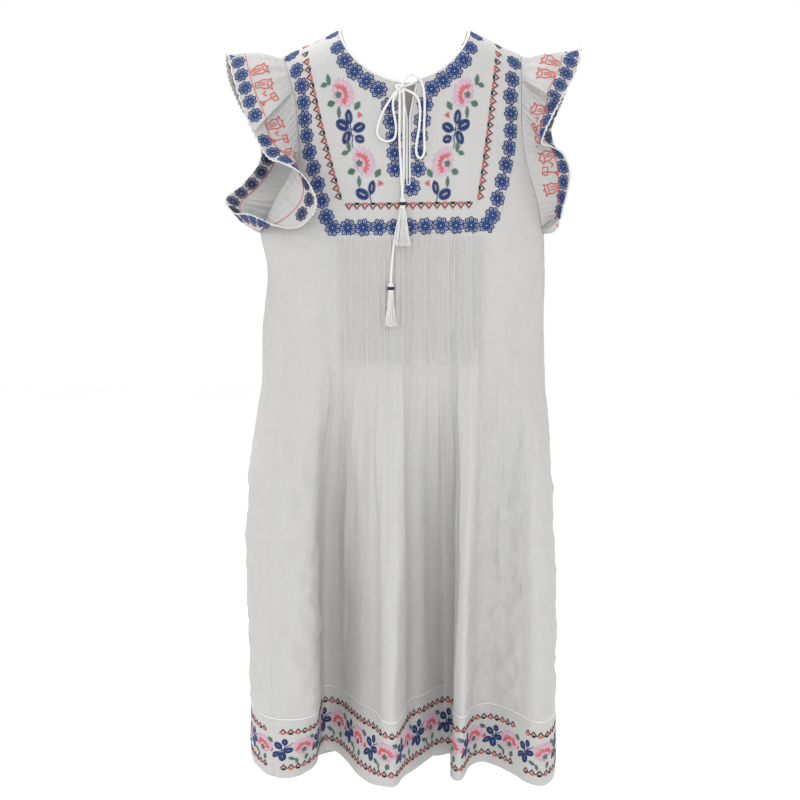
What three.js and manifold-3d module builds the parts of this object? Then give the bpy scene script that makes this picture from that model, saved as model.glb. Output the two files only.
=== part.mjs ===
// Peasant dress: a hollow worn shift with an embroidered yoke, pintucks, flutter sleeves,
// a bordered hem and a tasselled neck tie. Millimetres, +Z up, the front faces -Y.
// The origin lies between the two neck points, where the wearer's shoulders hold it.

import * as THREE from 'three';
import { mergeVertices } from 'three/addons/utils/BufferGeometryUtils.js';
import Module from 'manifold-3d';

const wasm = await Module();
wasm.setup();

// Driving dimensions

const CLOTH = 1.2;            // thickness of the cloth wall
const SEAM_GAP = 0.4;         // between two pieces sewn edge to edge
const BINDING = 2.4;          // thickness of a folded bias strip

const NECK = { centre: 4, half: 91, front: 75, back: 72, power: 1.7, strip: 4, gap: 0.5 };
const NECK_TURNS = [0.04, 0.1, 0.16, 0.23, 0.3, 0.37, 0.43];
const SHOULDER = { slope: 38 / 80.5, tip: 38, y: 6, round: 55 };
const SLIT = { x: 9.5, topHalf: 12, endHalf: 0.7, closes: 130, end: 217, strip: 2.6, flare: 1.3 };
const YOKE_BOTTOM = { left: 289, right: 283, leftX: -105, rightX: 129 };
const TUCKS = { count: 26, firstX: -91, lastX: 121, top: 295, end: 462, lift: 2.2, ripple: 1.8, fades: 260 };
const TUCK_SHAPE = { crest: 0.2, foot: 0.55 };   // shares of a tuck's pitch
const CHEST = 466;            // below this the tucks are let out into folds
const HEM_SEAM = 1010;
const HEM = 1113;
const BACK_DROP = 45;         // the back hangs this much lower than the front
const PIPING = { height: 2.4, thickness: 2.2 };
// Bends of the chest section: how square its sides are, and how flat its front and back
const SECTION = { frontSquare: 2.2, frontFlat: 0.46, backSquare: 2.4, backFlat: 0.5 };

// Half widths to the left and right silhouette and depths to the front and back, by height
const BODY = [
  { down: 0, left: 192, right: 198, front: 60, back: 54 },
  { down: 43, left: 190, right: 198, front: 66, back: 62 },
  { down: 70, left: 181, right: 199, front: 72, back: 70 },
  { down: 96, left: 176, right: 200, front: 78, back: 78 },
  { down: 141, left: 169, right: 197, front: 87, back: 88 },
  { down: 170, left: 168, right: 198, front: 92, back: 92 },
  { down: 200, left: 174, right: 201, front: 97, back: 94 },
  { down: 245, left: 193, right: 207, front: 104, back: 95 },
  { down: 286, left: 207.5, right: 210, front: 110, back: 93 },
  { down: 340, left: 198.5, right: 212, front: 110, back: 93 },
  { down: 380, left: 201, right: 213, front: 109, back: 93 },
  { down: 437, left: 208, right: 213, front: 107, back: 93 },
  { down: 515, left: 211, right: 216, front: 107, back: 93 },
  { down: 590, left: 224, right: 224, front: 107, back: 93 },
  { down: 660, left: 233, right: 228, front: 107, back: 93 },
  { down: 740, left: 238, right: 231, front: 107, back: 93 },
  { down: 840, left: 238, right: 236, front: 107, back: 93 },
  { down: 1010, left: 237, right: 237, front: 107, back: 93 },
  { down: 1130, left: 239, right: 239, front: 107, back: 93 },
];

// Front and back edges of the armholes, and the side edges of the yoke, by height
const ARMHOLE = [
  { down: 38, left: 171, right: 172 },
  { down: 60, left: 163, right: 171 },
  { down: 96, left: 152, right: 170.5 },
  { down: 141, left: 147.5, right: 171.5 },
  { down: 170, left: 146, right: 175 },
  { down: 200, left: 155, right: 182 },
  { down: 245, left: 182, right: 196 },
  { down: 290, left: 203, right: 205.5 },
];
const YOKE_SIDE = [
  { down: 38, left: 166.5, right: 168 },
  { down: 60, left: 159, right: 167.5 },
  { down: 96, left: 148.3, right: 166.5 },
  { down: 141, left: 143.8, right: 165 },
  { down: 165, left: 139, right: 163 },
  { down: 198, left: 129.5, right: 157 },
  { down: 230, left: 124, right: 148.5 },
  { down: 262, left: 119, right: 140.5 },
  { down: 276, left: 113, right: 133.5 },
  { down: 283, left: 109, right: 129 },
  { down: 289, left: 105, right: 129 },
];

// Fold stations round the skirt, from the left side over the front, the right side and the back:
// x at the chest, then x and y at the hem seam and at the hem
const FOLDS = [
  { chestX: -210, seamX: -238, seamY: 0, hemX: -240, hemY: 15 },
  { chestX: -203, seamX: -228, seamY: -58, hemX: -228, hemY: -40 },
  { chestX: -184, seamX: -208, seamY: -96, hemX: -208, hemY: -75 },
  { chestX: -163, seamX: -184, seamY: -110, hemX: -184, hemY: -92 },
  { chestX: -147, seamX: -160, seamY: -111, hemX: -162, hemY: -88 },
  { chestX: -132, seamX: -141, seamY: -103, hemX: -145, hemY: -70 },
  { chestX: -118, seamX: -128, seamY: -82, hemX: -133, hemY: -42 },
  { chestX: -106, seamX: -128, seamY: -30, hemX: -130, hemY: -8 },
  { chestX: -94, seamX: -124, seamY: 18, hemX: -121, hemY: 8 },
  { chestX: -80, seamX: -98, seamY: 9, hemX: -100, hemY: -4 },
  { chestX: -65, seamX: -79, seamY: -22, hemX: -83, hemY: -38 },
  { chestX: -50, seamX: -60, seamY: -56, hemX: -66, hemY: -82 },
  { chestX: -35, seamX: -40, seamY: -80, hemX: -47, hemY: -110 },
  { chestX: -20, seamX: -26, seamY: -116, hemX: -29, hemY: -120 },
  { chestX: -6, seamX: -9, seamY: -122, hemX: -10, hemY: -121 },
  { chestX: 7, seamX: 3, seamY: -84, hemX: 4, hemY: -86 },
  { chestX: 19, seamX: 12, seamY: -38, hemX: 20, hemY: -63 },
  { chestX: 32, seamX: 34, seamY: -18, hemX: 35, hemY: -38 },
  { chestX: 45, seamX: 53, seamY: 8, hemX: 52, hemY: -12 },
  { chestX: 58, seamX: 71, seamY: 24, hemX: 70, hemY: -4 },
  { chestX: 70, seamX: 87, seamY: -4, hemX: 84, hemY: -20 },
  { chestX: 80, seamX: 80, seamY: -56, hemX: 76, hemY: -62 },
  { chestX: 90, seamX: 81, seamY: -88, hemX: 77, hemY: -94 },
  { chestX: 101, seamX: 95, seamY: -101, hemX: 90, hemY: -99 },
  { chestX: 114, seamX: 110, seamY: -62, hemX: 105, hemY: -54 },
  { chestX: 131, seamX: 131, seamY: -51, hemX: 125, hemY: -36 },
  { chestX: 148, seamX: 151, seamY: -59, hemX: 146, hemY: -49 },
  { chestX: 165, seamX: 175, seamY: -85, hemX: 169, hemY: -77 },
  { chestX: 180, seamX: 196, seamY: -116, hemX: 192, hemY: -110 },
  { chestX: 190, seamX: 215, seamY: -119, hemX: 213, hemY: -118 },
  { chestX: 199, seamX: 231, seamY: -90, hemX: 230, hemY: -92 },
  { chestX: 206, seamX: 238, seamY: -40, hemX: 239, hemY: -45 },
  { chestX: 210, seamX: 240, seamY: 5, hemX: 241, hemY: 5 },
  { chestX: 202, seamX: 234, seamY: 48, hemX: 234, hemY: 50 },
  { chestX: 182, seamX: 212, seamY: 80, hemX: 212, hemY: 82 },
  { chestX: 155, seamX: 176, seamY: 72, hemX: 176, hemY: 74 },
  { chestX: 125, seamX: 142, seamY: 88, hemX: 142, hemY: 90 },
  { chestX: 90, seamX: 100, seamY: 100, hemX: 100, hemY: 102 },
  { chestX: 55, seamX: 58, seamY: 80, hemX: 58, hemY: 82 },
  { chestX: 18, seamX: 18, seamY: 96, hemX: 18, hemY: 98 },
  { chestX: -20, seamX: -28, seamY: 102, hemX: -28, hemY: 104 },
  { chestX: -57, seamX: -66, seamY: 82, hemX: -66, hemY: 84 },
  { chestX: -93, seamX: -108, seamY: 98, hemX: -108, hemY: 100 },
  { chestX: -128, seamX: -150, seamY: 76, hemX: -150, hemY: 78 },
  { chestX: -158, seamX: -186, seamY: 90, hemX: -186, hemY: 92 },
  { chestX: -184, seamX: -218, seamY: 74, hemX: -218, hemY: 76 },
  { chestX: -203, seamX: -236, seamY: 44, hemX: -236, hemY: 46 },
];
const RIGHT_SIDE = 32;        // station of the right silhouette, the left one is station 0
const FOLD_HALF = { chest: 210, hem: 238 };      // half widths that the fold table is written for
const FOLD_SETTLE = 1.5;      // how early the chest section gives way to the folds
const BACK_FROM = { y: -10, over: 90 };          // the back's drop grows with the hem's depth
const SEAMS = { frontLeft: 2.55, frontRight: 27.3, backRight: 34.45, backLeft: 44.55 };
const SEAM_X = { chestLeft: 172, chestRight: 169.5, chestBack: 170, top: 290, settles: 450 };

// Free edge of each flutter sleeve, round from the underarm over the front and the shoulder
const LEFT_EDGE = [
  { turn: 0, x: -219, y: -46, z: -263 },
  { turn: 0.06, x: -180, y: -92, z: -275 },
  { turn: 0.11, x: -153, y: -114, z: -278 },
  { turn: 0.16, x: -133, y: -124, z: -269 },
  { turn: 0.2, x: -120, y: -127, z: -249 },
  { turn: 0.24, x: -124, y: -126, z: -225 },
  { turn: 0.28, x: -141, y: -120, z: -201 },
  { turn: 0.33, x: -166, y: -108, z: -189 },
  { turn: 0.37, x: -188, y: -95, z: -179 },
  { turn: 0.42, x: -212, y: -74, z: -140 },
  { turn: 0.46, x: -233, y: -45, z: -88 },
  { turn: 0.5, x: -252, y: 0, z: -35 },
  { turn: 0.55, x: -255, y: 35, z: -66 },
  { turn: 0.61, x: -241, y: 60, z: -108 },
  { turn: 0.68, x: -216, y: 72, z: -152 },
  { turn: 0.75, x: -214, y: 70, z: -188 },
  { turn: 0.82, x: -240, y: 56, z: -224 },
  { turn: 0.88, x: -262, y: 28, z: -243 },
  { turn: 0.94, x: -247, y: -10, z: -262 },
];
const RIGHT_EDGE = [
  { turn: 0, x: 229, y: -6, z: -266 },
  { turn: 0.06, x: 231, y: -37, z: -267 },
  { turn: 0.12, x: 233, y: -52, z: -252 },
  { turn: 0.18, x: 238, y: -58, z: -227 },
  { turn: 0.24, x: 240, y: -62, z: -202 },
  { turn: 0.29, x: 229, y: -70, z: -177 },
  { turn: 0.33, x: 210, y: -85, z: -165 },
  { turn: 0.37, x: 196, y: -92, z: -160 },
  { turn: 0.41, x: 208, y: -82, z: -132 },
  { turn: 0.45, x: 227, y: -58, z: -97 },
  { turn: 0.48, x: 250, y: -30, z: -58 },
  { turn: 0.5, x: 259, y: 0, z: -26 },
  { turn: 0.55, x: 252, y: 32, z: -60 },
  { turn: 0.61, x: 239, y: 55, z: -102 },
  { turn: 0.68, x: 226, y: 70, z: -143 },
  { turn: 0.76, x: 238, y: 72, z: -182 },
  { turn: 0.84, x: 243, y: 60, z: -222 },
  { turn: 0.92, x: 235, y: 30, z: -256 },
];
const SLEEVE = { columns: 72, rows: [0, 0.12, 0.36, 0.68, 1], bulge: 9, gather: 1.6, corner: 0.06, off: 0.95 };
const UNDERARM = 5;           // the gores' top edge dips this much between front and back

// The neck tie: centre lines of the bow loops and the tails, and its tassels
const CORD = { radius: 1.8, sides: 8 };
const KNOT = { x: -1, y: -82.4, z: -86, rx: 8, ry: 5, rz: 7 };
const BRIDGE = [[20.2, -74.8, -76.7], [16, -77, -78.5], [10, -79.5, -81.5], [2, -81.5, -84]];
const LOOP_LEFT = [
  [-4, -83, -88], [-9, -84, -92], [-14, -85.5, -99], [-20, -87, -108], [-26, -88.5, -119],
  [-31, -90, -131], [-34, -91.5, -143], [-33.5, -92.5, -150], [-29.5, -93.5, -155.5],
  [-23, -94, -158.5], [-16, -94, -158.5], [-10, -93, -155], [-7.8, -92.5, -146],
  [-8, -91.5, -135], [-10.2, -90, -123], [-12, -88, -111], [-11, -86, -101], [-6, -84, -92],
];
const LOOP_RIGHT = [
  [0, -83, -83], [3.5, -84, -76.5], [8, -84, -71], [13, -83.5, -68], [19, -83.5, -68.5],
  [25.5, -84.5, -74], [30, -86, -84], [32, -87.5, -99], [32.2, -89, -117], [31.5, -91.5, -136],
  [31.6, -93.5, -152], [32.2, -95.5, -166], [31, -97, -177], [26.5, -98, -182.5],
  [21.6, -97.5, -178], [20.4, -96, -168], [22, -94.5, -156], [24.3, -93, -142],
  [25.6, -91.5, -128], [25.6, -90, -114], [23.6, -88.5, -102], [18, -87, -94.5],
  [10, -85.5, -90], [2, -83.5, -87],
];
const TAIL_SHORT = [
  [-2.4, -83, -88], [-2.6, -85.5, -97], [-2.6, -88, -110], [-2.7, -91, -125], [-2.9, -93.5, -140],
  [-2.8, -96, -155], [-2.2, -98.5, -170], [-1.4, -101, -185], [-0.6, -103.5, -199],
  [0, -107.5, -212], [0.8, -111.4, -223], [1.4, -115, -234], [1.6, -116, -240],
];
const TAIL_LONG = [
  [2.4, -83, -88], [3.2, -86, -98], [3.5, -88.5, -113], [3.4, -91.5, -132], [3.2, -94.5, -152],
  [3, -97.3, -170], [3, -100, -188], [2.6, -102.8, -207], [1.8, -105.6, -225],
  [0, -108, -242], [-2.8, -110.8, -260], [-6.4, -113.8, -278], [-9.8, -115.6, -296],
  [-12.2, -115.8, -314], [-13.8, -115.9, -332], [-14.8, -116.4, -348], [-15, -117, -357],
];
const TASSELS = [
  { name: 'short', head: [1.6, -116, -242], tail: TAIL_SHORT, drop: 62, spreadX: 12.5, spreadY: 5, lean: -7 },
  { name: 'long', head: [-15, -118, -360], tail: TAIL_LONG, drop: 57, spreadX: 8.5, spreadY: 4.2, lean: -3 },
];
const HEAD = { radius: 3.8, above: 6, below: 9, clear: 0.3, band: 1.1, bandHeight: 4.5 };
const STRANDS = { outer: 14, inner: 8, radius: 0.75, root: 0.62, overlap: 2, uneven: 1.5 };

// Materials, from the photo
const COLOURS = { cloth: 0xdcdcda, cord: 0xe9e9e6, thread: 0x1c2c63 };
const finish = (colour, roughness) =>
  new THREE.MeshStandardMaterial({ color: colour, roughness, metalness: 0, side: THREE.DoubleSide });

// Small maths

const clamp = (value) => Math.min(1, Math.max(0, value));
const lerp = (from, to, share) => from + (to - from) * share;
const smooth = (value) => clamp(value) ** 2 * (3 - 2 * clamp(value));
const spread = (from, to, cells) => Array.from({ length: cells + 1 }, (_, i) => lerp(from, to, i / cells));

// A smooth curve through one column of a table, by another column
function read(table, by, column, at) {
  const last = table.length - 1;
  let i = table.findIndex((row) => row[by] > at) - 1;
  if (at <= table[0][by]) return table[0][column];
  if (i < 0) return table[last][column];
  const slope = (k) => {
    const before = table[Math.max(0, k - 1)];
    const after = table[Math.min(last, k + 1)];
    return (after[column] - before[column]) / (after[by] - before[by]);
  };
  const width = table[i + 1][by] - table[i][by];
  const t = (at - table[i][by]) / width;
  const a = table[i][column];
  const b = table[i + 1][column];
  const bend = (1 - t) * width * slope(i) - t * width * slope(i + 1) + (2 * t - 1) * (b - a);
  return lerp(a, b, t) + t * (1 - t) * bend;
}

// A smooth curve through four neighbouring values
function cubic(a, b, c, d, t) {
  const bend = (2 * a - 5 * b + 4 * c - d) * t * t + (3 * b - a - 3 * c + d) * t ** 3;
  return 0.5 * (2 * b + (c - a) * t + bend);
}

// The worn shape

const halfWidth = (x, down) => read(BODY, 'down', x < 0 ? 'left' : 'right', down);
const armholeX = (side, down) => side * read(ARMHOLE, 'down', side < 0 ? 'left' : 'right', down);
const yokeSideX = (side, down) => side * read(YOKE_SIDE, 'down', side < 0 ? 'left' : 'right', down);
const shoulderLine = (x) => -SHOULDER.slope * Math.max(0, Math.abs(x - NECK.centre) - NECK.half);

// Depth of the chest section at x: flat in front and behind, round at the sides
function sectionY(x, down, back) {
  const share = Math.abs(x) / halfWidth(x, down);
  const reach = clamp(1 - share ** (back ? SECTION.backSquare : SECTION.frontSquare));
  const depth = read(BODY, 'down', back ? 'back' : 'front', down);
  if (back) return SHOULDER.y + (depth - SHOULDER.y) * reach ** SECTION.backFlat;
  return SHOULDER.y - (depth + SHOULDER.y) * reach ** SECTION.frontFlat;
}

// A point of the front or back cloth above the folds, rounded over the shoulder
function bodyPoint(x, z, back = false) {
  const below = clamp((shoulderLine(x) - z) / SHOULDER.round);
  const round = Math.sqrt(1 - (1 - below) ** 2);
  const y = lerp(SHOULDER.y, sectionY(x, -z, back), round);
  return new THREE.Vector3(x, y, z);
}

// A point of the neck edge, set back by a distance: turn 0 is the right neck point, 1 the left
function neckPoint(turn, setBack, back = false) {
  const angle = Math.PI * turn;
  const power = 2 / NECK.power;
  const across = Math.sign(Math.cos(angle)) * Math.abs(Math.cos(angle)) ** power;
  const drop = (back ? NECK.back : NECK.front) + setBack;
  const x = NECK.centre + (NECK.half + setBack) * across;
  const z = shoulderLine(x) - drop * Math.abs(Math.sin(angle)) ** power;
  return bodyPoint(x, z, back);
}

const slitHalf = (down) => {
  const open = 1 - clamp((down - NECK.front) / (SLIT.closes - NECK.front));
  return lerp(SLIT.endHalf, SLIT.topHalf, open ** SLIT.flare);
};

// A point of the skirt at one fold station: the chest section turns into the hem's folds
function foldPoint(index, down) {
  const fold = FOLDS[index];
  const half = halfWidth(fold.chestX, down);
  const share = clamp((down - CHEST) / (HEM - CHEST));
  const folded = 1 - (1 - clamp((down - CHEST) / (HEM_SEAM - CHEST))) ** FOLD_SETTLE;
  const bordered = clamp((down - HEM_SEAM) / (HEM - HEM_SEAM));
  const back = index === 0 || index >= RIGHT_SIDE;
  const chestX = (fold.chestX / FOLD_HALF.chest) * half;
  const chestY = sectionY(chestX, down, index > RIGHT_SIDE);
  const x = lerp(fold.seamX, fold.hemX, bordered) * (half / FOLD_HALF.hem);
  const y = lerp(fold.seamY, fold.hemY, bordered);
  const drop = back ? BACK_DROP * smooth((fold.hemY - BACK_FROM.y) / BACK_FROM.over) * share : 0;
  return new THREE.Vector3(lerp(chestX, x, folded), lerp(chestY, y, folded), -down - drop);
}

// A smooth closed curve through four neighbouring points
function curved([a, b, c, d], t) {
  const [x, y, z] = ['x', 'y', 'z'].map((axis) => cubic(a[axis], b[axis], c[axis], d[axis], t));
  return new THREE.Vector3(x, y, z);
}

function skirtPoint(station, down) {
  const count = FOLDS.length;
  const first = Math.floor(station);
  const around = [-1, 0, 1, 2].map((k) => foldPoint((((first + k) % count) + count) % count, down));
  return curved(around, station - first);
}

// Walls of cloth

// A corner of a sheet: its place, and how far the outer face is lifted off it
const corner = (point, lift = 0) => ({ point, lift });

// Draws a row's ends in, so that two pieces keep their gap
function drawIn(row, start, end) {
  const pull = (from, to, by) => {
    const along = to.point.clone().sub(from.point).setLength(by);
    return corner(from.point.clone().add(along), from.lift);
  };
  const drawn = row.slice();
  if (start) drawn[0] = pull(row[0], row[1], start);
  if (end) drawn[row.length - 1] = pull(row[row.length - 1], row[row.length - 2], end);
  return drawn;
}

// Joins neighbouring rows of corners into triangles, stepping along each by its share of length
function joinRows(sheet, rows) {
  const shares = (row) => {
    const lengths = [0];
    for (let i = 1; i < row.length; i++) {
      lengths.push(lengths[i - 1] + row[i].point.distanceTo(row[i - 1].point));
    }
    return lengths.map((length) => length / lengths[row.length - 1]);
  };
  for (let r = 1; r < rows.length; r++) {
    const [upper, lower] = [rows[r - 1], rows[r]];
    const same = upper.length === lower.length;
    const [upperShare, lowerShare] = [shares(upper), shares(lower)];
    let i = 0;
    let j = 0;
    while (i < upper.length - 1 || j < lower.length - 1) {
      const stepUpper = same ? i <= j : upperShare[i + 1] <= lowerShare[j + 1];
      if (j === lower.length - 1 || (i < upper.length - 1 && stepUpper)) {
        sheet.push([upper[i], lower[j], upper[i + 1]]);
        i++;
      } else {
        sheet.push([upper[i], lower[j], lower[j + 1]]);
        j++;
      }
    }
  }
  return sheet;
}

// Gives a sheet its thickness, half to each side of it, and closes its edges
function thicken(sheet, thickness = CLOTH) {
  const index = new Map();
  const normals = [];
  for (const triangle of sheet) {
    const [a, b, c] = triangle.map((vertex) => vertex.point);
    const normal = b.clone().sub(a).cross(c.clone().sub(a));
    for (const vertex of triangle) {
      if (!index.has(vertex)) {
        index.set(vertex, index.size);
        normals.push(new THREE.Vector3());
      }
      normals[index.get(vertex)].add(normal);
    }
  }
  const vertices = [...index.keys()];
  const place = (vertex, off) => vertex.point.clone().addScaledVector(normals[index.get(vertex)], off);
  normals.forEach((normal) => normal.normalize());
  const outer = vertices.map((vertex) => place(vertex, thickness / 2 + vertex.lift));
  const inner = vertices.map((vertex) => place(vertex, -thickness / 2));
  const faces = [];
  const edges = new Set();
  for (const triangle of sheet) {
    const [a, b, c] = triangle.map((vertex) => index.get(vertex));
    faces.push([outer[a], outer[b], outer[c]], [inner[c], inner[b], inner[a]]);
    for (const [from, to] of [[a, b], [b, c], [c, a]]) edges.add(`${from},${to}`);
  }
  for (const edge of edges) {
    const [from, to] = edge.split(',').map(Number);
    if (edges.has(`${to},${from}`)) continue;
    faces.push([outer[from], inner[from], inner[to]], [outer[from], inner[to], outer[to]]);
  }
  const geometry = new THREE.BufferGeometry();
  geometry.setFromPoints(faces.flat());
  geometry.computeVertexNormals();
  return geometry;
}

// Front: yoke, panel and binding

// Shares of the way down from the shoulder, close together where the cloth rounds over it
const ROUNDED = spread(0, 90, 5).map((degrees) => 0.25 * (1 - Math.cos(THREE.MathUtils.degToRad(degrees))));
const DOWN_SHARES = [...ROUNDED, 0.42, 0.6, 0.8, 1];
const YOKE_ROWS_BELOW = 3;

const yokeBottom = (x) => {
  const share = (x - YOKE_BOTTOM.leftX) / (YOKE_BOTTOM.rightX - YOKE_BOTTOM.leftX);
  return -lerp(YOKE_BOTTOM.left, YOKE_BOTTOM.right, share);
};
const slitEnd = -(SLIT.end + SLIT.strip + SEAM_GAP);

// Heights of one column: down to the slit's end, then on to the yoke's bottom edge
function yokeHeights(top, x) {
  const above = DOWN_SHARES.map((share) => lerp(top, slitEnd, share));
  const below = spread(slitEnd, yokeBottom(x), YOKE_ROWS_BELOW).slice(1);
  return [...above, ...below];
}

// Stops along half of the front neck that stay clear of the slit
const frontTurns = (side) =>
  NECK_TURNS.map((turn) => (side > 0 ? turn : 1 - turn))
    .filter((turn) => side * (neckPoint(turn, 0).x - SLIT.x) > SLIT.topHalf + SLIT.strip);

function yokeHalf(side) {
  const tip = yokeSideX(side, SHOULDER.tip);
  const setBack = NECK.strip + NECK.gap;
  const point = NECK.centre + side * (NECK.half + setBack);
  const slitEdge = (z) => SLIT.x + side * (slitHalf(-z) + SLIT.strip + SEAM_GAP);
  const shoulder = spread(tip, point, 4).map((x) => bodyPoint(x, shoulderLine(x)));
  const neck = frontTurns(side).map((turn) => neckPoint(turn, setBack));
  const last = bodyPoint(slitEdge(-NECK.front - setBack), -NECK.front - setBack);
  const columns = [...shoulder, ...neck, last].map((start) => {
    const share = (start.x - yokeSideX(side, -start.z)) / (slitEdge(start.z) - yokeSideX(side, -start.z));
    const bottomX = lerp(yokeSideX(side, YOKE_BOTTOM.left), SLIT.x, clamp(share));
    return yokeHeights(start.z, bottomX).map((z) => {
      const x = lerp(yokeSideX(side, -z), slitEdge(z), clamp(share));
      return corner(bodyPoint(x, z));
    });
  });
  const rows = columns[0].map((_, r) => columns.map((column) => column[r]));
  return rows.map((row) => {
    const drawn = drawIn(row, SEAM_GAP / 2, 0);
    return side < 0 ? drawn : drawn.reverse();
  });
}

function frontYoke() {
  const left = yokeHalf(-1);
  const right = yokeHalf(1);
  const sheet = [];
  joinRows(sheet, left);
  joinRows(sheet, right);
  const closed = DOWN_SHARES.length - 1;
  const middle = left.slice(closed).map((row, r) => [row[row.length - 1], right[closed + r][0]]);
  joinRows(sheet, middle);
  return thicken(sheet);
}

// The strap beside the yoke, from the shoulder down to the panel's own top row
const STRAP_CELLS = 4;
function strapRows(side) {
  const heights = yokeHeights(shoulderLine(yokeSideX(side, SHOULDER.tip)), yokeSideX(side, YOKE_BOTTOM.left));
  const rows = heights.slice(0, -1).map((z) => {
    const [outer, inner] = [armholeX(side, -z), yokeSideX(side, -z)];
    const row = spread(outer, inner, STRAP_CELLS).map((x) => corner(bodyPoint(x, z)));
    return drawIn(row, 0, SEAM_GAP / 2);
  });
  return rows;
}

// Chest x of the seam between the front panel and the gore, by height
const seamX = (side, down) => {
  const chest = side < 0 ? SEAM_X.chestLeft : SEAM_X.chestRight;
  const share = smooth((down - SEAM_X.top) / (SEAM_X.settles - SEAM_X.top));
  return side * lerp(Math.abs(armholeX(side, SEAM_X.top)), chest, share);
};

const TUCK_ROWS = [SEAM_X.top, TUCKS.top, 375, TUCKS.end, CHEST + 2];
const FOLD_ROWS = [482, 520, 575, 645, 730, 820, 915, HEM_SEAM - PIPING.height / 2 - SEAM_GAP];
const HEM_ROWS = [HEM_SEAM + PIPING.height / 2 + SEAM_GAP, 1042, 1076, HEM];

function tuckRow(down) {
  const tucked = down >= TUCKS.top && down <= TUCKS.end;
  const pitch = (TUCKS.lastX - TUCKS.firstX) / TUCKS.count;
  const side = (edge, inner) => spread(seamX(edge, down), inner, STRAP_CELLS).map((x) => [x, 0]);
  const columns = side(-1, YOKE_BOTTOM.leftX);
  columns.push([lerp(YOKE_BOTTOM.leftX, TUCKS.firstX, 0.5), 0]);
  for (let k = 0; k < TUCKS.count; k++) {
    const start = TUCKS.firstX + k * pitch;
    const crest = start + TUCK_SHAPE.crest * pitch;
    columns.push([start, 0], [crest, tucked ? TUCKS.lift : 0], [start + TUCK_SHAPE.foot * pitch, 0]);
  }
  columns.push([TUCKS.lastX, 0]);
  columns.push(...side(1, YOKE_BOTTOM.rightX).reverse());
  const row = columns.map(([x, lift]) => {
    const underYoke = down === SEAM_X.top && x > YOKE_BOTTOM.leftX - 1 && x < YOKE_BOTTOM.rightX + 1;
    const z = underYoke ? yokeBottom(x) - SEAM_GAP : -down;
    return corner(bodyPoint(x, z), lift);
  });
  return row;
}

// One row of the skirt between two stations, with the let-out tucks as shallow ripples
function skirtRow(from, to, cells, down) {
  return spread(from, to, cells).map((station, i) => {
    const point = skirtPoint(station, down);
    const inTucks = point.x > TUCKS.firstX && point.x < TUCKS.lastX && station < RIGHT_SIDE;
    const fade = 1 - smooth((down - CHEST) / TUCKS.fades);
    if (inTucks && i % 2) point.y -= TUCKS.ripple * fade;
    return corner(point);
  });
}

const FRONT_CELLS = 44;
const BACK_CELLS = 20;
function frontPanel() {
  const sheet = [];
  const upper = TUCK_ROWS.map(tuckRow);
  const left = strapRows(-1);
  const right = strapRows(1).map((row) => row.reverse());
  const top = upper[0];
  joinRows(sheet, [...left, top.slice(0, STRAP_CELLS + 1)]);
  joinRows(sheet, [...right, top.slice(-STRAP_CELLS - 1)]);
  const lower = FOLD_ROWS.map((down) => skirtRow(SEAMS.frontLeft, SEAMS.frontRight, FRONT_CELLS, down));
  const trimmed = [...upper, ...lower].map((row, r) => (r ? drawIn(row, SEAM_GAP / 2, SEAM_GAP / 2) : row));
  joinRows(sheet, trimmed);
  return thicken(sheet);
}

// Back and gores

const BACK_TURNS = [...NECK_TURNS, 0.5, ...NECK_TURNS.map((turn) => 1 - turn).reverse()];

function backPanel() {
  const sheet = [];
  const setBack = NECK.strip + NECK.gap;
  const [rightPoint, leftPoint] = [1, -1].map((side) => NECK.centre + side * (NECK.half + setBack));
  const onShoulder = (x) => bodyPoint(x, shoulderLine(x), true);
  const rightShoulder = spread(armholeX(1, SHOULDER.tip), rightPoint, 4).map(onShoulder);
  const leftShoulder = spread(leftPoint, armholeX(-1, SHOULDER.tip), 4).map(onShoulder);
  const neck = BACK_TURNS.map((turn) => neckPoint(turn, setBack, true));
  const armholes = (z) => [armholeX(-1, -z), armholeX(1, -z)];
  const columns = [...rightShoulder, ...neck, ...leftShoulder].map((start) => {
    const [leftStart, rightStart] = armholes(start.z);
    const share = clamp((start.x - rightStart) / (leftStart - rightStart));
    return DOWN_SHARES.map((part) => {
      const z = lerp(start.z, -SEAM_X.top, part);
      const [left, right] = armholes(z);
      const point = bodyPoint(lerp(right, left, share), z, true);
      if (part === 0 && Math.abs(start.y - SHOULDER.y) < SEAM_GAP) point.y += SEAM_GAP;
      return corner(point);
    });
  });
  const upper = DOWN_SHARES.map((_, r) => columns.map((column) => column[r]));
  const xRows = TUCK_ROWS.slice(1).map((down) => {
    const share = smooth((down - SEAM_X.top) / (SEAM_X.settles - SEAM_X.top));
    const edge = (side) => side * lerp(Math.abs(armholeX(side, SEAM_X.top)), SEAM_X.chestBack, share);
    return spread(edge(1), edge(-1), BACK_CELLS).map((x) => corner(bodyPoint(x, -down, true)));
  });
  const lower = FOLD_ROWS.map((down) => skirtRow(SEAMS.backRight, SEAMS.backLeft, BACK_CELLS, down));
  const skirt = [...xRows, ...lower].map((row) => drawIn(row, SEAM_GAP / 2, SEAM_GAP / 2));
  joinRows(sheet, [...upper, ...skirt]);
  return thicken(sheet);
}

// Inverse of the chest section: x of the cloth at a given depth
function sectionX(side, y, down) {
  const back = y > SHOULDER.y;
  const depth = read(BODY, 'down', back ? 'back' : 'front', down) + (back ? -SHOULDER.y : SHOULDER.y);
  const reach = (Math.abs(y - SHOULDER.y) / depth) ** (1 / (back ? SECTION.backFlat : SECTION.frontFlat));
  return side * halfWidth(side, down) * (1 - reach) ** (1 / (back ? SECTION.backSquare : SECTION.frontSquare));
}

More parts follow.
